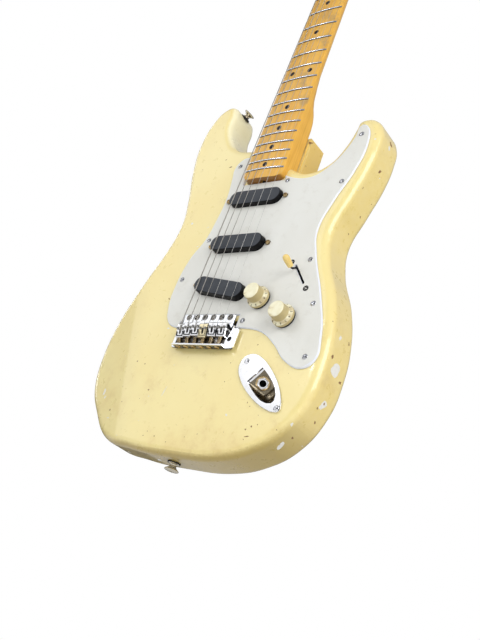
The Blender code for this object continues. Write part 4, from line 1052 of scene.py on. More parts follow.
def make_neck():
    stations = []
    for past in (0.0, 0.0002, 0.0006, 0.0012, 0.0022, 0.0036, 0.0055, 0.0078, 0.010, 0.030, 0.050, 0.0690):
        z = HEEL_Z + past
        into = max(HEEL_CORNER_R - past, 0.0)
        half = neck_half_width(z) - HEEL_CORNER_R + math.sqrt(HEEL_CORNER_R ** 2 - into ** 2)
        stations.append((z, half, HEEL_THICK, 12, BOARD_H, 0.0055))
    for past in [*np.linspace(0.0717, 0.150, 28), *np.linspace(0.162, 0.456, 24)]:
        z = HEEL_Z + float(past)
        thick, square, edge = neck_profile(z)
        stations.append((z, neck_half_width(z), thick, square, BOARD_H, edge))
    stations += [(NUT_Z + 0.0045, NUT_HALF, NECK_END_THICK, 2.3, BOARD_H, 0.0035),
                 (NUT_Z + 0.0120, NUT_HALF, 0.0168, 3.0, HEAD_FACE_H + 0.0030, 0.0055),
                 (NUT_Z + 0.0200, NUT_HALF, 0.0138, 4.0, HEAD_FACE_H + 0.0001, 0.0055)]
    shape = bmesh.new()
    rings = []
    for z, *section in stations:
        rings.append([shape.verts.new((x, front(h), z)) for x, h in neck_section(*section)])
    skin(shape, rings)
    rod_y = front(-0.0030)
    cutters = [cylinder(0.0048, (0, rod_y, HEEL_Z - 0.01), (0, rod_y, HEEL_Z + 0.020)),
               cylinder(0.0038, (0, front(0.0007), HEEL_Z - 0.01), (0, front(0.0007), HEEL_Z + 0.012)),
               slab_box(-0.03, 0.03, NUT_Z, NUT_Z + NUT_W, BOARD_H - 0.004, 0.02)]
    data = carved(shape, cutters)
    piece("maple_neck", data, "maple", "guitar_body", ["neck"], smooth=42)


def make_headstock():
    loop = outline([(point[0], SADDLE_Z + point[1], *point[2:]) for point in HEAD_OUTLINE], 12)
    back = HEAD_FACE_H - HEAD_T
    soft = 0.0018
    edge = [(soft * (1 - math.sin(angle)), soft * (1 - math.cos(angle))) for angle in QUARTER_TURN]
    levels = [(inset, back + rise) for inset, rise in edge]
    levels += [(inset, HEAD_FACE_H - rise) for inset, rise in reversed(edge)]
    piece("headstock", prism(loop, levels), "maple", smooth=50, weighted=True)


def fret_z(number):
    return SADDLE_Z + SCALE * 2 ** (-number / 12)


def behind_fret(number):
    """The middle of the space that a finger stops to sound the fret."""
    return (fret_z(number) + fret_z(number - 1)) / 2


def make_frets():
    shape = bmesh.new()
    half_wide, crown = 0.0012, 0.0013
    for number in range(1, 22):
        z = fret_z(number)
        half = neck_half_width(z) - 0.0003
        rings = []
        for step in range(17):
            x = half * (2 * step / 16 - 1)
            taper = min(1.0, (half - abs(x)) / 0.0012 + 0.25)
            h = BOARD_H - x * x / (2 * BOARD_R) - 0.0001
            ring = []
            for point in range(7):
                angle = math.pi * point / 6
                lift = crown * taper * math.sin(angle) ** 0.85
                ring.append(shape.verts.new((x, front(h + lift), z + half_wide * math.cos(angle))))
            rings.append(ring)
        bridge_rings(shape, rings)
        shape.faces.new(reversed(rings[0]))
        shape.faces.new(rings[-1])
    bmesh.ops.recalc_face_normals(shape, faces=shape.faces)
    piece("frets", shape, "fret", smooth=60)


DOT_FRETS = (3, 5, 7, 9, 15, 17, 19, 21)
OCTAVE_DOT_X = 0.0125


def make_dots():
    places = [(0.0, behind_fret(number)) for number in DOT_FRETS]
    places += [(side * OCTAVE_DOT_X, behind_fret(12)) for side in (-1, 1)]
    shape = bmesh.new()
    for x0, z0 in places:
        middle = shape.verts.new((x0, front(BOARD_H - x0 * x0 / (2 * BOARD_R) + 0.0001), z0))
        rims = []
        for radius, lift in ((0.0030, 0.0001), (0.0033, -0.0002)):
            ring = []
            for step in range(28):
                angle = 2 * math.pi * step / 28
                x = x0 + radius * math.cos(angle)
                h = BOARD_H - x * x / (2 * BOARD_R) + lift
                ring.append(shape.verts.new((x, front(h), z0 + radius * math.sin(angle))))
            rims.append(ring)
        disc(shape, middle, *rims)
    bmesh.ops.recalc_face_normals(shape, faces=shape.faces)
    for face in shape.faces:
        if face.normal.y > 0.5:
            face.normal_flip()
    piece("position_dots", shape, "dot")
    side = []
    profile = [(0, 0.00012), (0.0008, 0.00010), (0.0010, -0.0002), (0, -0.0002)]
    for number in sorted((*DOT_FRETS, 12)):
        z = behind_fret(number)
        spot = (-neck_half_width(z), front(BOARD_H - 0.0042), z)
        side.append((lathe(profile, 14), aimed(spot, (-1, 0, 0))))
    piece("side_dots", merged(side), "dot")


def make_back_stripe():
    """The darker strip that fills the truss rod's channel along the neck's back."""
    shape = bmesh.new()
    rings = []
    steps = 60
    for step in range(steps + 1):
        z = HEEL_Z + 0.118 + (0.440 - 0.118) * step / steps
        thick = neck_profile(z)[0]
        half = 0.0024 * math.sqrt(min(1.0, min(step, steps - step) / 2 + 0.02))
        back = BOARD_H - thick - 0.00015
        rings.append([shape.verts.new((half * side, front(back + 0.03 * abs(half * side) ** 1.6), z))
                      for side in (-1, -0.5, 0, 0.5, 1)])
    bridge_rings(shape, rings, closed=False)
    piece("neck_back_stripe", shape, "walnut")


make_neck()
make_headstock()
make_frets()
make_dots()
make_back_stripe()


# Screws

def screw_mesh(domed=0.42):
    """A cross-slotted head one unit in radius, standing on local Z = 0."""
    profile = [(0, domed), (0.35, domed * 0.96), (0.65, domed * 0.78), (0.88, domed * 0.45), (1.0, 0.08),
               (1.0, -0.15), (0, -0.15)]
    head = lathe(profile, 24)
    arms = []
    for turn in (0, math.pi / 2):
        arm = block((-0.66, -0.17, domed - 0.36), (0.66, 0.17, domed + 0.5))
        arms.append(moved(arm, Matrix.Rotation(turn, 4, "Z")))
    data = carved(head, arms)
    # Painted shade: the faces inside the cross recess take the second, black material
    for polygon in data.polygons:
        spot = polygon.center
        polygon.material_index = int(spot.xy.length < 0.67 and -0.14 < spot.z < domed * 0.66)
    return data


SCREW = screw_mesh()
LOW_SCREW = screw_mesh(0.22)


def make_screws(name, places, radius, look, body="guitar_body", template=None, spin_seed=1):
    """Places are (position, direction) pairs."""
    chance = random.Random(spin_seed)
    parts = []
    for position, way in places:
        matrix = aimed(position, way, chance.uniform(0, math.pi)) @ Matrix.Scale(radius, 4)
        parts.append((template or SCREW, matrix))
    made = piece(name, merged(parts), look, body, smooth=35)
    # The second material paints shade into each cross recess
    made.data.materials.append(LOOK["felt_and_shade"])
    return made


OUT, BACK = (0, -1, 0), (0, 1, 0)
GUARD_SCREWS = (
    (-0.0445, 0.349), (0.0345, 0.3185), (0.112, 0.3675), (0.107, 0.3075), (0.1015, 0.2135), (0.1225, 0.1635),
    (0.133, 0.1075), (0.044, 0.145), (-0.047, 0.247), (-0.064, 0.197), (-0.0385, 0.1425),
)
SWITCH_SCREWS = ((0.0801, 0.2115), (0.1078, 0.1804))


def facing_screws(places, h, way=OUT):
    """Places for make_screws() on a flat face at height h."""
    return [((x, front(h), z), way) for x, z in places]


make_screws("pickguard_screws", facing_screws(GUARD_SCREWS, GUARD_TOP_H), 0.0029, "screw")
make_screws("switch_screws", facing_screws(SWITCH_SCREWS, GUARD_TOP_H), 0.0031, "blackened",
            template=LOW_SCREW)


# Pickguard and what stands on it

def make_guard():
    levels = [(0, 0.0003), (0, 0.0008), (0.0008, GUARD_TOP_H - 0.0003), (0.0020, GUARD_TOP_H)]
    shape = prism(outline(GUARD_OUTLINE, 16), levels)
    cutters = []
    below, above = -0.002, 0.006
    through = [(0, below), (0, above)]
    for x, z, angle in PICKUPS.values():
        place = turned_in_plane(x, z, -angle)
        cutters.append(prism(stadium(0.0711, 0.0194), through, place))
        for side in (-1, 1):
            cutters.append(cylinder(0.0031, place @ Vector((side * PICKUP_SCREW_X, front(below), 0)),
                                    place @ Vector((side * PICKUP_SCREW_X, front(above), 0))))
    for x, z in KNOBS.values():
        cutters.append(cylinder(0.0050, (x, front(below), z), (x, front(above), z)))
    slot_turn = turned_in_plane(*SWITCH, math.atan2(SWITCH_WAY[1], SWITCH_WAY[0]))
    cutters.append(prism(stadium(0.0290, 0.0026), through, slot_turn))
    bmesh.ops.triangulate(shape, faces=shape.faces)
    piece("pickguard_sheet", carved(shape, cutters), "guard", "guitar_body", ["pickguard"], 25, weighted=True)


def make_pickups():
    soft = 0.0012
    for name, (x, z, turn) in PICKUPS.items():
        top = PICKUP_TOP_H[name]
        levels = [(0, -0.010), (0, top - soft)]
        levels += [(soft * (1 - math.cos(angle)), top - soft * (1 - math.sin(angle)))
                   for angle in QUARTER_TURN[1:]]
        place = turned_in_plane(x, z, -turn)
        shape = prism(stadium(0.0699, 0.0182, 20), levels, place)
        piece(f"{name}_cover", shape, "black", "guitar_body", [name], smooth=50)
        spots = [place @ Vector((side * PICKUP_SCREW_X, front(GUARD_TOP_H + 0.0016), 0)) for side in (-1, 1)]
        make_screws(f"{name}_screws", [(spot, OUT) for spot in spots], 0.0027, "brass", spin_seed=len(name))
        springs = [(helix(0.0019, 0.0010, 6, 0.0004, aimed(spot + Vector((0, 0.0062, 0)), OUT)), STILL)
                   for spot in spots]
        piece(f"{name}_screw_springs", merged(springs), "brass", smooth=60)


# Painted shade: a black disc on the guard under each knob's skirt stands for the shadow in the gap beneath it
KNOB_SHADE_DISC = ((0.0056, 0.0025), (0.0108, 0.0025), (0.0113, 0.0021), (0.0113, 0.0004), (0.0110, 0.0001),
             (0.0056, 0.0001))


def flutes(angle, height):
    if 0.0062 < height < KNOB_HEIGHT - 0.0012:
        return 1.0 - 0.022 * abs(math.cos(angle * 20))
    return 1.0


def make_knobs():
    top = KNOB_HEIGHT
    profile = [
        (0, top - 0.0001), (0.0060, top - 0.0001), (0.0078, top), (0.0084, top - 0.0004),
        (0.0088, top - 0.0012), (0.0089, top - 0.0013), (0.0091, 0.0085), (0.0092, 0.0064), (0.0093, 0.0058),
        (0.0096, 0.0052), (0.0103, 0.0046), (0.0112, 0.0040), (0.0118, 0.0035), (0.0120, 0.0026),
        (0.0120, 0.0006), (0.0118, 0.0000), (0.0109, 0.0000), (0.0102, 0.0022), (0.0000, 0.0024),
    ]
    for name, (x, z) in KNOBS.items():
        place = aimed((x, front(KNOB_UNDER_H), z), OUT)
        turned_piece(f"{name}_dial", profile, place, "dial", f"{name}_control", [f"{name}_knob"],
                     segments=120, flute=flutes)
        marks = []
        for value in range(1, 11):
            text = bpy.data.curves.new("numeral", "FONT")
            text.body = str(value)
            text.size = 0.0032
            text.align_x = "CENTER"
            text.align_y = "CENTER"
            text.extrude = 0.00006
            data = baked(linked("numeral", text))
            angle = math.radians(-30 * value + 15)
            tilt = Matrix.Rotation(math.radians(-35), 4, "X")
            spot = Matrix.Rotation(angle, 4, "Z") @ Matrix.Translation((0, 0.0107, 0.00446)) @ tilt
            marks.append((data, place @ spot))
        piece(f"{name}_numerals", merged(marks), "numeral", f"{name}_control")
        on_guard = aimed((x, front(GUARD_TOP_H), z), OUT)
        # Painted shade: the black disc that fills the shadowed gap under the skirt
        turned_piece(f"{name}_felt", KNOB_SHADE_DISC, on_guard, "felt_and_shade", smooth=32, segments=48)


make_guard()
make_pickups()
make_knobs()


# Selector

def make_selector():
    node = frame["nodes"]["selector_tip"]
    points = np.array([vertex.co for vertex in node.data.vertices])
    centre = points.mean(axis=0)
    way = np.linalg.svd(points - centre)[2][0]
    if way[1] > 0:
        way = -way
    reach = (points - centre) @ way
    base = Vector(centre + way * reach.min())
    length = reach.max() - reach.min()
    profile = [(0, length), (0.0012, length - 0.0002), (0.0022, length - 0.0008), (0.0030, length - 0.0018),
               (0.00345, length - 0.0029), (0.0036, length - 0.0042), (0.00355, length - 0.0060),
               (0.0033, length * 0.30), (0.0031, length * 0.10), (0.0030, 0.0005), (0.0027, 0.0),
               (0.0013, 0.0), (0.0013, 0.003), (0, 0.003)]
    turned_piece("selector_tip_cap", profile, aimed(base, way), "amber", "selector", ["selector_tip"], 50)
    along = Vector((SWITCH_WAY[0], 0, SWITCH_WAY[1])).normalized()
    pivot = Vector((SWITCH[0], front(SWITCH_PIVOT_H), SWITCH[1]))
    exit_point = pivot + along * 0.0097 + Vector((0, SWITCH_PIVOT_H - 0.0028, 0))
    knee = base - Vector(way) * 0.0022
    lever = [pivot, exit_point.lerp(pivot, 0.02), exit_point.lerp(knee, 0.04), knee.lerp(exit_point, 0.10),
             knee.lerp(base, 0.45), base + Vector(way) * 0.0026]
    piece("selector_lever_bent", wire(lever, 0.0010, 14), "dot", "selector", ["selector_lever"], smooth=60)


make_selector()


# Jack plate

def bowl(grow, top_h):
    """The bowl of the jack plate as a closed solid, in the plate's own axes."""
    knots = np.array(JACK_CUP)
    shape = bmesh.new()
    rings = []
    spots = np.concatenate([np.linspace(0.0145, 0.0012, 12), np.linspace(0.0005, -0.0262, 22)])
    order = np.argsort(knots[:, 0])
    for index, v in enumerate(spots):
        half = np.interp(v, knots[order, 0], knots[order, 1])
        depth = np.interp(v, knots[order, 0], knots[order, 2])
        reach = grow if index == 0 else -grow if index == len(spots) - 1 else 0.0
        section = [(-1.0, top_h), (1.0, top_h)]
        for step in range(25):
            angle = math.pi * step / 24
            side = abs(math.cos(angle)) ** 0.62 * math.copysign(1, math.cos(angle))
            section.append((side, -(depth + grow) * abs(math.sin(angle)) ** 0.62))
        rings.append([shape.verts.new((side * (half + grow), front(h), v + reach)) for side, h in section])
    skin(shape, rings, backwards=True)
    return moved(shape, jack_turn())


def make_jack():
    turn = jack_turn()
    up = turn.to_3x3() @ Vector((0, 0, 1))
    axis = (Vector(OUT) - up).normalized()
    mouth = turn @ Vector((0, front(JACK_MOUTH_V - JACK_CUP[0][0]), JACK_MOUTH_V))
    loop = outline([JACK_TIPS[0], *JACK_SIDE, JACK_TIPS[1], *mirrored(JACK_SIDE)], 14)
    soft = 0.0005
    levels = [(0, 0.0003), (0, JACK_PLATE_H - soft), (soft * 0.3, JACK_PLATE_H - soft * 0.3),
              (soft, JACK_PLATE_H)]
    plate = to_bmesh(carved(prism(loop, levels, turn), [bowl(0.0009, 0.0010)], "UNION"))
    bore = cylinder(0.0050, mouth - axis * 0.01, mouth + axis * 0.008)
    stamping = piece("jack_plate_stamping", carved(plate, [bowl(0.0, 0.004), bore]), "chrome", "guitar_body",
                     ["jack_plate"], smooth=38)
    # Painted shade: faces of the bowl below the body's face take a dark chrome
    stamping.data.materials.append(LOOK["painted_shade_chrome"])
    for polygon in stamping.data.polygons:
        if polygon.center.y > front(-0.0012):
            polygon.material_index = 1
    nut = carved(cylinder(0.0057, mouth + axis * 0.0005, mouth + axis * 0.0018, 6),
                 [cylinder(0.0036, mouth - axis * 0.002, mouth + axis * 0.004)])
    profile = [(0.0034, 0.0026), (0.0044, 0.0026), (0.0047, 0.0022), (0.0047, -0.012), (0.0034, -0.012)]
    barrel = lathe(profile, 32)
    nut = merged([(nut, STILL), (barrel, aimed(mouth, axis))])
    piece("jack_nut", nut, "chrome", "guitar_body", ["output_jack"], smooth=40)
    washer = [(0.0048, 0.0005), (0.0066, 0.0005), (0.0070, 0.0003), (0.0070, 0.0001), (0.0048, 0.0001)]
    turned_piece("jack_washer", washer, aimed(mouth, axis), "brass")
    lining = [(0, -0.011), (0.0034, -0.011), (0.0034, 0.0022), (0.00335, 0.0022), (0.0033, -0.0108),
              (0, -0.0108)]
    turned_piece("jack_socket_lining", lining, aimed(mouth, axis), "felt_and_shade", segments=24)
    make_screws("jack_plate_screws", facing_screws(JACK_SCREWS, JACK_PLATE_H), 0.0030, "chrome", spin_seed=4)


make_jack()


# Bridge

def string_x(index, z):
    place = index - 2.5
    at_saddle = place * BRIDGE_SPACING
    return at_saddle + (place * NUT_SPACING - at_saddle) * (z - SADDLE_Z) / SCALE


def saddle_string_h(index):
    x = string_x(index, SADDLE_Z)
    return SADDLE_STRING_H - x * x / (2 * BOARD_R)


def string_look(index):
    return "wound" if index < 3 else "string"


def pivot_x(index):
    return PIVOT_MIDDLE_X + (index - 2.5) * PIVOT_PITCH


def plate_sheet():
    corners = [(PLATE_REAR_X[0], PLATE_REAR_Z, 0.0020), (PLATE_REAR_X[1], PLATE_REAR_Z, 0.0028),
               (PLATE_REAR_X[1], PLATE_STEP_Z, 0.0020), (PLATE_FRONT_X[1], PLATE_STEP_Z, 0.0012),
               (PLATE_FRONT_X[1], PLATE_FRONT_Z, 0.0012), (PLATE_FRONT_X[0], PLATE_FRONT_Z, 0.0012),
               (PLATE_FRONT_X[0], PLATE_STEP_Z, 0.0012), (PLATE_REAR_X[0], PLATE_STEP_Z, 0.0015)]
    loop = rounded(corners, 0.002, 5)
    plate = prism(loop, [(0, 0.0026), (0, PLATE_TOP_H - 0.0004), (0.0004, PLATE_TOP_H)])
    x, z = ARM_HOLE
    cutters = [cylinder(0.0027, (x, front(0), z), (x, front(0.01), z))]
    for index in range(6):
        x = pivot_x(index)
        cutters.append(cylinder(0.0016, (x, front(0), PIVOT_Z), (x, front(0.01), PIVOT_Z), 16))
    for index in range(6):
        x = string_x(index, SADDLE_Z)
        z = SADDLE_Z + INTONATION[index] - 0.0078
        cutters.append(prism(stadium(0.0080, 0.0030), [(0, 0.0), (0, 0.01)],
                             turned_in_plane(x, z, math.pi / 2)))
    return carved(plate, cutters)


def plate_lip():
    """The lip that is bent up along the plate's rear edge and holds the length screws."""
    profile = [(PLATE_REAR_Z + 0.0036, PLATE_TOP_H), (PLATE_REAR_Z + 0.0022, PLATE_TOP_H + 0.0006),
               (PLATE_REAR_Z + 0.0018, PLATE_TOP_H + 0.0018), (PLATE_REAR_Z + 0.0018, LIP_TOP_H - 0.0004),
               (PLATE_REAR_Z + 0.0014, LIP_TOP_H), (PLATE_REAR_Z + 0.0005, LIP_TOP_H),
               (PLATE_REAR_Z + 0.0001, LIP_TOP_H - 0.0004), (PLATE_REAR_Z + 0.0001, PLATE_TOP_H - 0.0010),
               (PLATE_REAR_Z + 0.0036, PLATE_TOP_H - 0.0010)]
    lip = bmesh.new()
    rings = [[lip.verts.new((x, front(h), z)) for z, h in profile] for x in LIP_X]
    skin(lip, rings)
    return lip


def make_bridge():
    whole = merged([(plate_sheet(), STILL), (plate_lip(), STILL)])
    piece("bridge_plate_bent", whole, "bridge_chrome", "tremolo", ["bridge_plate"], smooth=35)
    x, z = ARM_HOLE
    floor_h = PLATE_TOP_H - 0.0022
    socket = [(0, floor_h), (0.0021, floor_h), (0.0022, PLATE_TOP_H - 0.0008), (0.0027, PLATE_TOP_H - 0.0006),
              (0.0027, floor_h - 0.0004), (0, floor_h - 0.0004)]
    turned_piece("arm_socket", socket, aimed((x, FRONT_Y, z), OUT), "felt_and_shade", "tremolo", segments=24)
    for index in range(6):
        make_saddle(index)
    pivots = facing_screws([(pivot_x(index), PIVOT_Z) for index in range(6)], PLATE_TOP_H - 0.0002)
    make_screws("bridge_pivot_screws", pivots, 0.0036, "pivot", spin_seed=9)


def make_saddle(index):
    """A bent steel saddle with its slot and screws, and the end of the string that goes down through it."""
    number = index + 1
    x = string_x(index, SADDLE_Z)
    top_h = saddle_string_h(index) - STRING_D[index] / 2 - 0.0003
    z = SADDLE_Z + INTONATION[index]
    leg = top_h - PLATE_TOP_H - 0.0004
    foot = min(leg, 0.0062)
    outer = [(-0.0132, -leg), (-0.0132, -0.0038), (-0.0130, -0.0031), (-0.0124, -0.0027),
             (-0.0040, -0.0008), (-0.0020, -0.0002), (-0.0004, 0.0000), (0.0008, -0.0003),
             (0.0017, -0.0011), (0.0021, -0.0022), (0.0022, -foot)]
    inner = [(0.0010, -foot), (0.0009, -0.0026), (0.0003, -0.0017), (-0.0008, -0.0013), (-0.0040, -0.0021),
             (-0.0118, -0.0039), (-0.0121, -0.0043), (-0.0121, -leg)]
    shape = bmesh.new()
    rings = [[shape.verts.new((side * SADDLE_HALF, -h, along)) for along, h in outer + inner]
             for side in (-1, 1)]
    skin(shape, rings)
    slot = prism(stadium(0.0065, 0.0029), [(0, -0.02), (0, 0.02)],
                 turned_in_plane(0, -0.0065, math.pi / 2))
    data = carved(shape, [moved(slot, Matrix.Translation((0, BODY_T / 2, 0)))])
    # Painted shade: the faces inside each saddle's slot take the second, black material
    for polygon in data.polygons:
        spot = polygon.center
        inside = abs(spot.x) < SADDLE_HALF - 0.0005 and -0.0122 < spot.z < 0.0015
        polygon.material_index = int(inside and polygon.normal.y > -0.25)
    place = Matrix.Translation((x, front(top_h), z))
    look = "yellowed_chrome" if index == 3 else "chrome"
    made = piece(f"saddle_bent_{number}", merged([(data, place)]), look, "tremolo", [f"saddle_{number}"], 50)
    made.data.materials.append(LOOK["felt_and_shade"])
    make_saddle_screws(index, x, top_h, z)
    crest = Vector((x, front(saddle_string_h(index)), z))
    tail = [crest + Vector((0, 0.00002, 0.0002)), crest, crest + Vector((0, 0.0003, -0.0022)),
            crest + Vector((0, 0.0022, -0.0056)), crest + Vector((0, 0.0065, -0.0078)),
            crest + Vector((0, 0.0160, -0.0086))]
    end = wire(tail, STRING_D[index] / 2, 10)
    piece(f"string_tail_{number}", end, string_look(index), "tremolo", smooth=60)


def make_saddle_screws(index, x, top_h, z):
    """A saddle's two height screws, and its length screw with its spring; x, top_h and z are the saddle's."""
    number = index + 1
    screws = []
    height_screw = [(0.0007, 0.0), (0.0011, 0.0001), (0.0015, -0.0002), (0.0015, -0.0072), (0, -0.0072)]
    for side in (-1, 1):
        at = x + side * 0.0034
        screws.append((lathe(height_screw, 16), aimed((at, front(top_h + 0.0006), z - 0.0040), OUT)))
    rod_y = front(LENGTH_SCREW_H)
    rear_x = LENGTH_SCREW_MIDDLE_X + (index - 2.5) * LENGTH_SCREW_PITCH
    length_screw = cylinder(0.0012, (rear_x, rod_y, PLATE_REAR_Z - 0.0002), (x, rod_y, z - 0.0105), 12)
    screws.append((length_screw, STILL))
    piece(f"saddle_screws_{number}", merged(screws), "steel", "tremolo", smooth=40)
    head = ((rear_x, rod_y, PLATE_REAR_Z - 0.0001), (0, 0, -1))
    make_screws(f"length_screw_head_{number}", [head], 0.0027, "brass", "tremolo", spin_seed=index)
    start = Vector((rear_x, rod_y, PLATE_REAR_Z + 0.0022))
    way = Vector((x, rod_y, z - 0.0136)) - start
    turns = 6
    spring = helix(0.0019, way.length / turns, turns, 0.00036, aimed(start, way), 12)
    piece(f"saddle_spring_{number}", spring, "brass", "tremolo", smooth=60)


make_bridge()


# Strings and tuners

POST_BUSHING = ((0.0033, 0.0018), (0.0048, 0.0016), (0.0062, 0.0008), (0.0066, 0.0000), (0.0033, 0.0000))


def post_place(index):
    z = POST_Z + POST_PITCH * index
    return string_x(index, z) - POST_R - STRING_D[index] / 2 - 0.0003, z


def make_tuners():
    for index in range(6):
        number = index + 1
        x, z = post_place(index)
        radius = POST_R + STRING_D[index] / 2 + 0.00005
        turns = 3.2 + 0.3 * index
        start = Matrix.Translation((x, front(0.0086), z)) @ Matrix.Rotation(math.radians(90), 4, "X")
        coil = helix(radius, -STRING_D[index] * 1.05, turns, STRING_D[index] / 2, start, 20)
        piece(f"string_winding_{number}", coil, string_look(index), f"string_post_{number}", smooth=60)
        profile = [(0.0000, POST_TOP_H), (0.0022, POST_TOP_H), (0.0030, POST_TOP_H - 0.0008),
                   (0.0030, POST_TOP_H - 0.0040), (0.0025, POST_TOP_H - 0.0052), (0.0025, 0.0064),
                   (0.0030, 0.0052), (0.0030, HEAD_FACE_H - 0.012), (0, HEAD_FACE_H - 0.012)]
        post = moved(lathe(profile, 28), aimed((x, FRONT_Y, z), OUT))
        slot = block((x - 0.0006, front(POST_TOP_H + 0.001), z - 0.004),
                     (x + 0.0006, front(POST_TOP_H - 0.0034), z + 0.004))
        piece(f"post_turned_{number}", carved(post, [slot]), "nickel", f"string_post_{number}",
              [f"tuner_post_{number}"], smooth=40)
        on_head = aimed((x, front(HEAD_FACE_H + 0.00005), z), OUT)
        turned_piece(f"post_bushing_{number}", POST_BUSHING, on_head, "nickel")


make_tuners()


# Strap buttons, back plate screws and springs

def make_strap_buttons():
    profile = [(0, 0.0085), (0.0030, 0.0086), (0.0056, 0.0086), (0.0068, 0.0083), (0.0075, 0.0076),
               (0.0073, 0.0070), (0.0060, 0.0062), (0.0046, 0.0052), (0.0037, 0.0042), (0.0034, 0.0030),
               (0.0038, 0.0018), (0.0050, 0.0011), (0.0062, 0.0008), (0, 0.0008)]
    felt_and_shade = [(0, 0.0009), (0.0064, 0.0009), (0.0068, 0.0004), (0.0066, -0.0012), (0, -0.0012)]
    seats = {"strap_button_lower": (Vector((0.0, 0.0, -0.0003)), Vector((0, 0, -1))),
             "strap_button_upper": (Vector((-0.0986, 0.0, 0.4525)), Vector((0.62, 0, 0.78)))}
    for name, (seat, way) in seats.items():
        place = aimed(seat, way)
        turned_piece(f"{name}_turned", profile, place, "nickel", "guitar_body", [name], 50, 40)
        turned_piece(f"{name}_felt", felt_and_shade, place, "felt_and_shade", smooth=32)
        end = seat + way.normalized() * 0.00845
        make_screws(f"{name}_screw", [(end, way)], 0.0030, "nickel", template=LOW_SCREW)


def make_back_screws():
    cover = [(x, z) for x in (-0.0420, 0.0420) for z in (0.1130, 0.1860, 0.2590)]
    plate = [(x, z) for x in (-0.0190, 0.0190) for z in (0.3305, 0.3815)]
    cover_h, plate_h = -BODY_T - 0.0018, -BODY_T - 0.0023
    make_screws("tremolo_cover_screws", facing_screws(cover, cover_h, BACK), 0.0027, "chrome")
    make_screws("neck_plate_screws", facing_screws(plate, plate_h, BACK), 0.0042, "chrome")


def make_springs():
    turns = 46
    low, high, y = SADDLE_Z - 0.0007, SADDLE_Z + 0.0797, front(SPRING_H)
    for number, x in enumerate(SPRING_XS, 1):
        spring = helix(0.0033, (high - low) / turns, turns, 0.00055, aimed((x, y, low), (0, 0, 1)), 12)
        rod = f"tremolo_spring_{number}"
        coil = piece(f"tremolo_coil_{number}", spring, "steel", "guitar_body", [rod], smooth=60)
        coil.parent = None
        del coil["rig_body"]
        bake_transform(coil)


make_strap_buttons()
make_back_screws()
make_springs()


# Materials of the solids that stay

# The truss rod's nut is blackened as painted shade, so the bore it sits in reads dark
KEPT = {
    "truss_rod": "blackened", "tremolo_block": "steel", "spring_claw": "steel", "selector_switch": "steel",
    "volume_pot": "steel", "tone_pot": "steel", "volume_shaft": "steel", "tone_shaft": "steel",
    "nut": "bone", "string_tree": "nickel", "neck_plate": "chrome", "tremolo_cover": "guard",
}
KEPT.update({f"string_{index + 1}": string_look(index) for index in range(6)})
for number in range(1, 7):
    KEPT[f"tuner_housing_{number}"] = "nickel"
    KEPT[f"tuner_button_{number}"] = "nickel"


def dress_solid(node, look):
    if not node.material_slots:
        node.data.materials.append(LOOK[look])
    for material_slot in node.material_slots:
        material_slot.link = "OBJECT"
        material_slot.material = LOOK[look]
    node.data.shade_smooth()
    node.data.set_sharp_from_angle(angle=math.radians(35))


for node_name, look_name in KEPT.items():
    dress_solid(frame["nodes"][node_name], look_name)


# Floor and light

def make_floor():
    obj = linked("studio_floor", as_mesh(lathe([(0, 0), (2.6, 0), (2.6, -0.01), (0, -0.01)], 96)))
    obj.location = (0, 0, -0.32)
    s = Shader("pale_floor")
    s.set(Base_Color=s.mix(s.noise(3.0), (0.88, 0.88, 0.88), (0.84, 0.84, 0.84)), Roughness=0.7)
    obj.data.materials.append(s.material)


def area_light(name, position, size, power, size_y=None, aim_x=0.0):
    data = bpy.data.lights.new(name, "AREA")
    data.shape = "RECTANGLE"
    data.size = size
    data.size_y = size_y or size
    data.energy = power
    obj = linked(name, data)
    obj.location = position
    obj.rotation_euler = (Vector((aim_x, 0, 0.2)) - Vector(position)).to_track_quat("-Z", "Y").to_euler()


SKY_LOW, SKY_HIGH = 0.26, 0.52


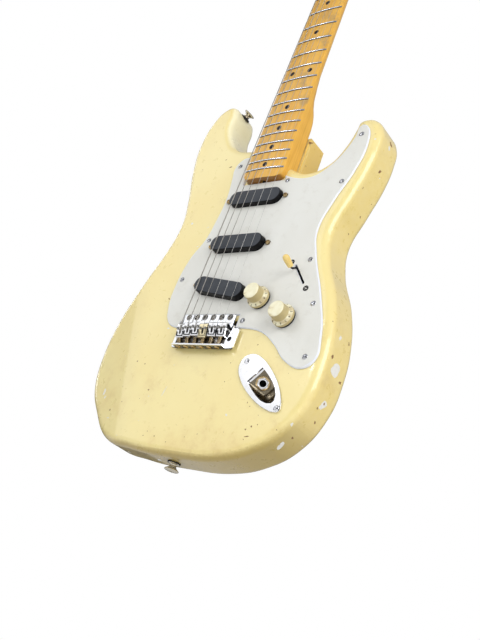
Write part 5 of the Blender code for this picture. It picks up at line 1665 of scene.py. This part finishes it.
def make_world():
    """White where the camera looks, soft light all round, and a darker studio for shiny reflections."""
    world = bpy.data.worlds.new("white_studio")
    bpy.context.scene.world = world
    world.use_nodes = True
    tree = world.node_tree
    tree.nodes.clear()

    def background(colour, strength):
        made = tree.nodes.new("ShaderNodeBackground")
        made.inputs[0].default_value = (*colour, 1)
        made.inputs[1].default_value = strength
        return made

    def height_ramp(low, high, out_low, out_high):
        made = tree.nodes.new("ShaderNodeMapRange")
        for socket, value in zip(made.inputs[1:5], (low, high, out_low, out_high)):
            socket.default_value = value
        tree.links.new(height, made.inputs[0])
        return made.outputs[0]

    def choose(share, first, second):
        made = tree.nodes.new("ShaderNodeMixShader")
        tree.links.new(share, made.inputs[0])
        tree.links.new(first.outputs[0], made.inputs[1])
        tree.links.new(second.outputs[0], made.inputs[2])
        return made

    coordinates = tree.nodes.new("ShaderNodeTexCoord")
    axes = tree.nodes.new("ShaderNodeSeparateXYZ")
    tree.links.new(coordinates.outputs["Generated"], axes.inputs[0])
    height = axes.outputs[2]
    path = tree.nodes.new("ShaderNodeLightPath").outputs
    soft = background((1, 1, 1), 0.5)
    tree.links.new(height_ramp(-0.6, 0.4, SKY_LOW, SKY_HIGH), soft.inputs[1])
    studio = background((0.97, 0.98, 1.0), 0.1)
    tree.links.new(height_ramp(0.1, 0.9, 0.06, 0.55), studio.inputs[1])
    unseen = choose(path["Is Glossy Ray"], soft, studio)
    seen = choose(path["Is Camera Ray"], unseen, background((1, 1, 1), 1.0))
    output = tree.nodes.new("ShaderNodeOutputWorld")
    tree.links.new(seen.outputs[0], output.inputs[0])


make_floor()
make_world()
area_light("key", (-1.45, -1.65, 1.0), 2.2, 15.0)
area_light("small_key", (-1.05, -1.75, 1.0), 0.22, 2.2)
area_light("side", (1.8, -1.1, 0.8), 1.3, 25.0)
area_light("strip_right", (1.95, -0.42, 1.0), 0.10, 4.0, 1.6, 0.1)
area_light("strip_left", (-1.95, -0.10, 1.0), 0.10, 4.0, 1.6, -0.1)
bpy.context.scene.view_settings.view_transform = "Standard"
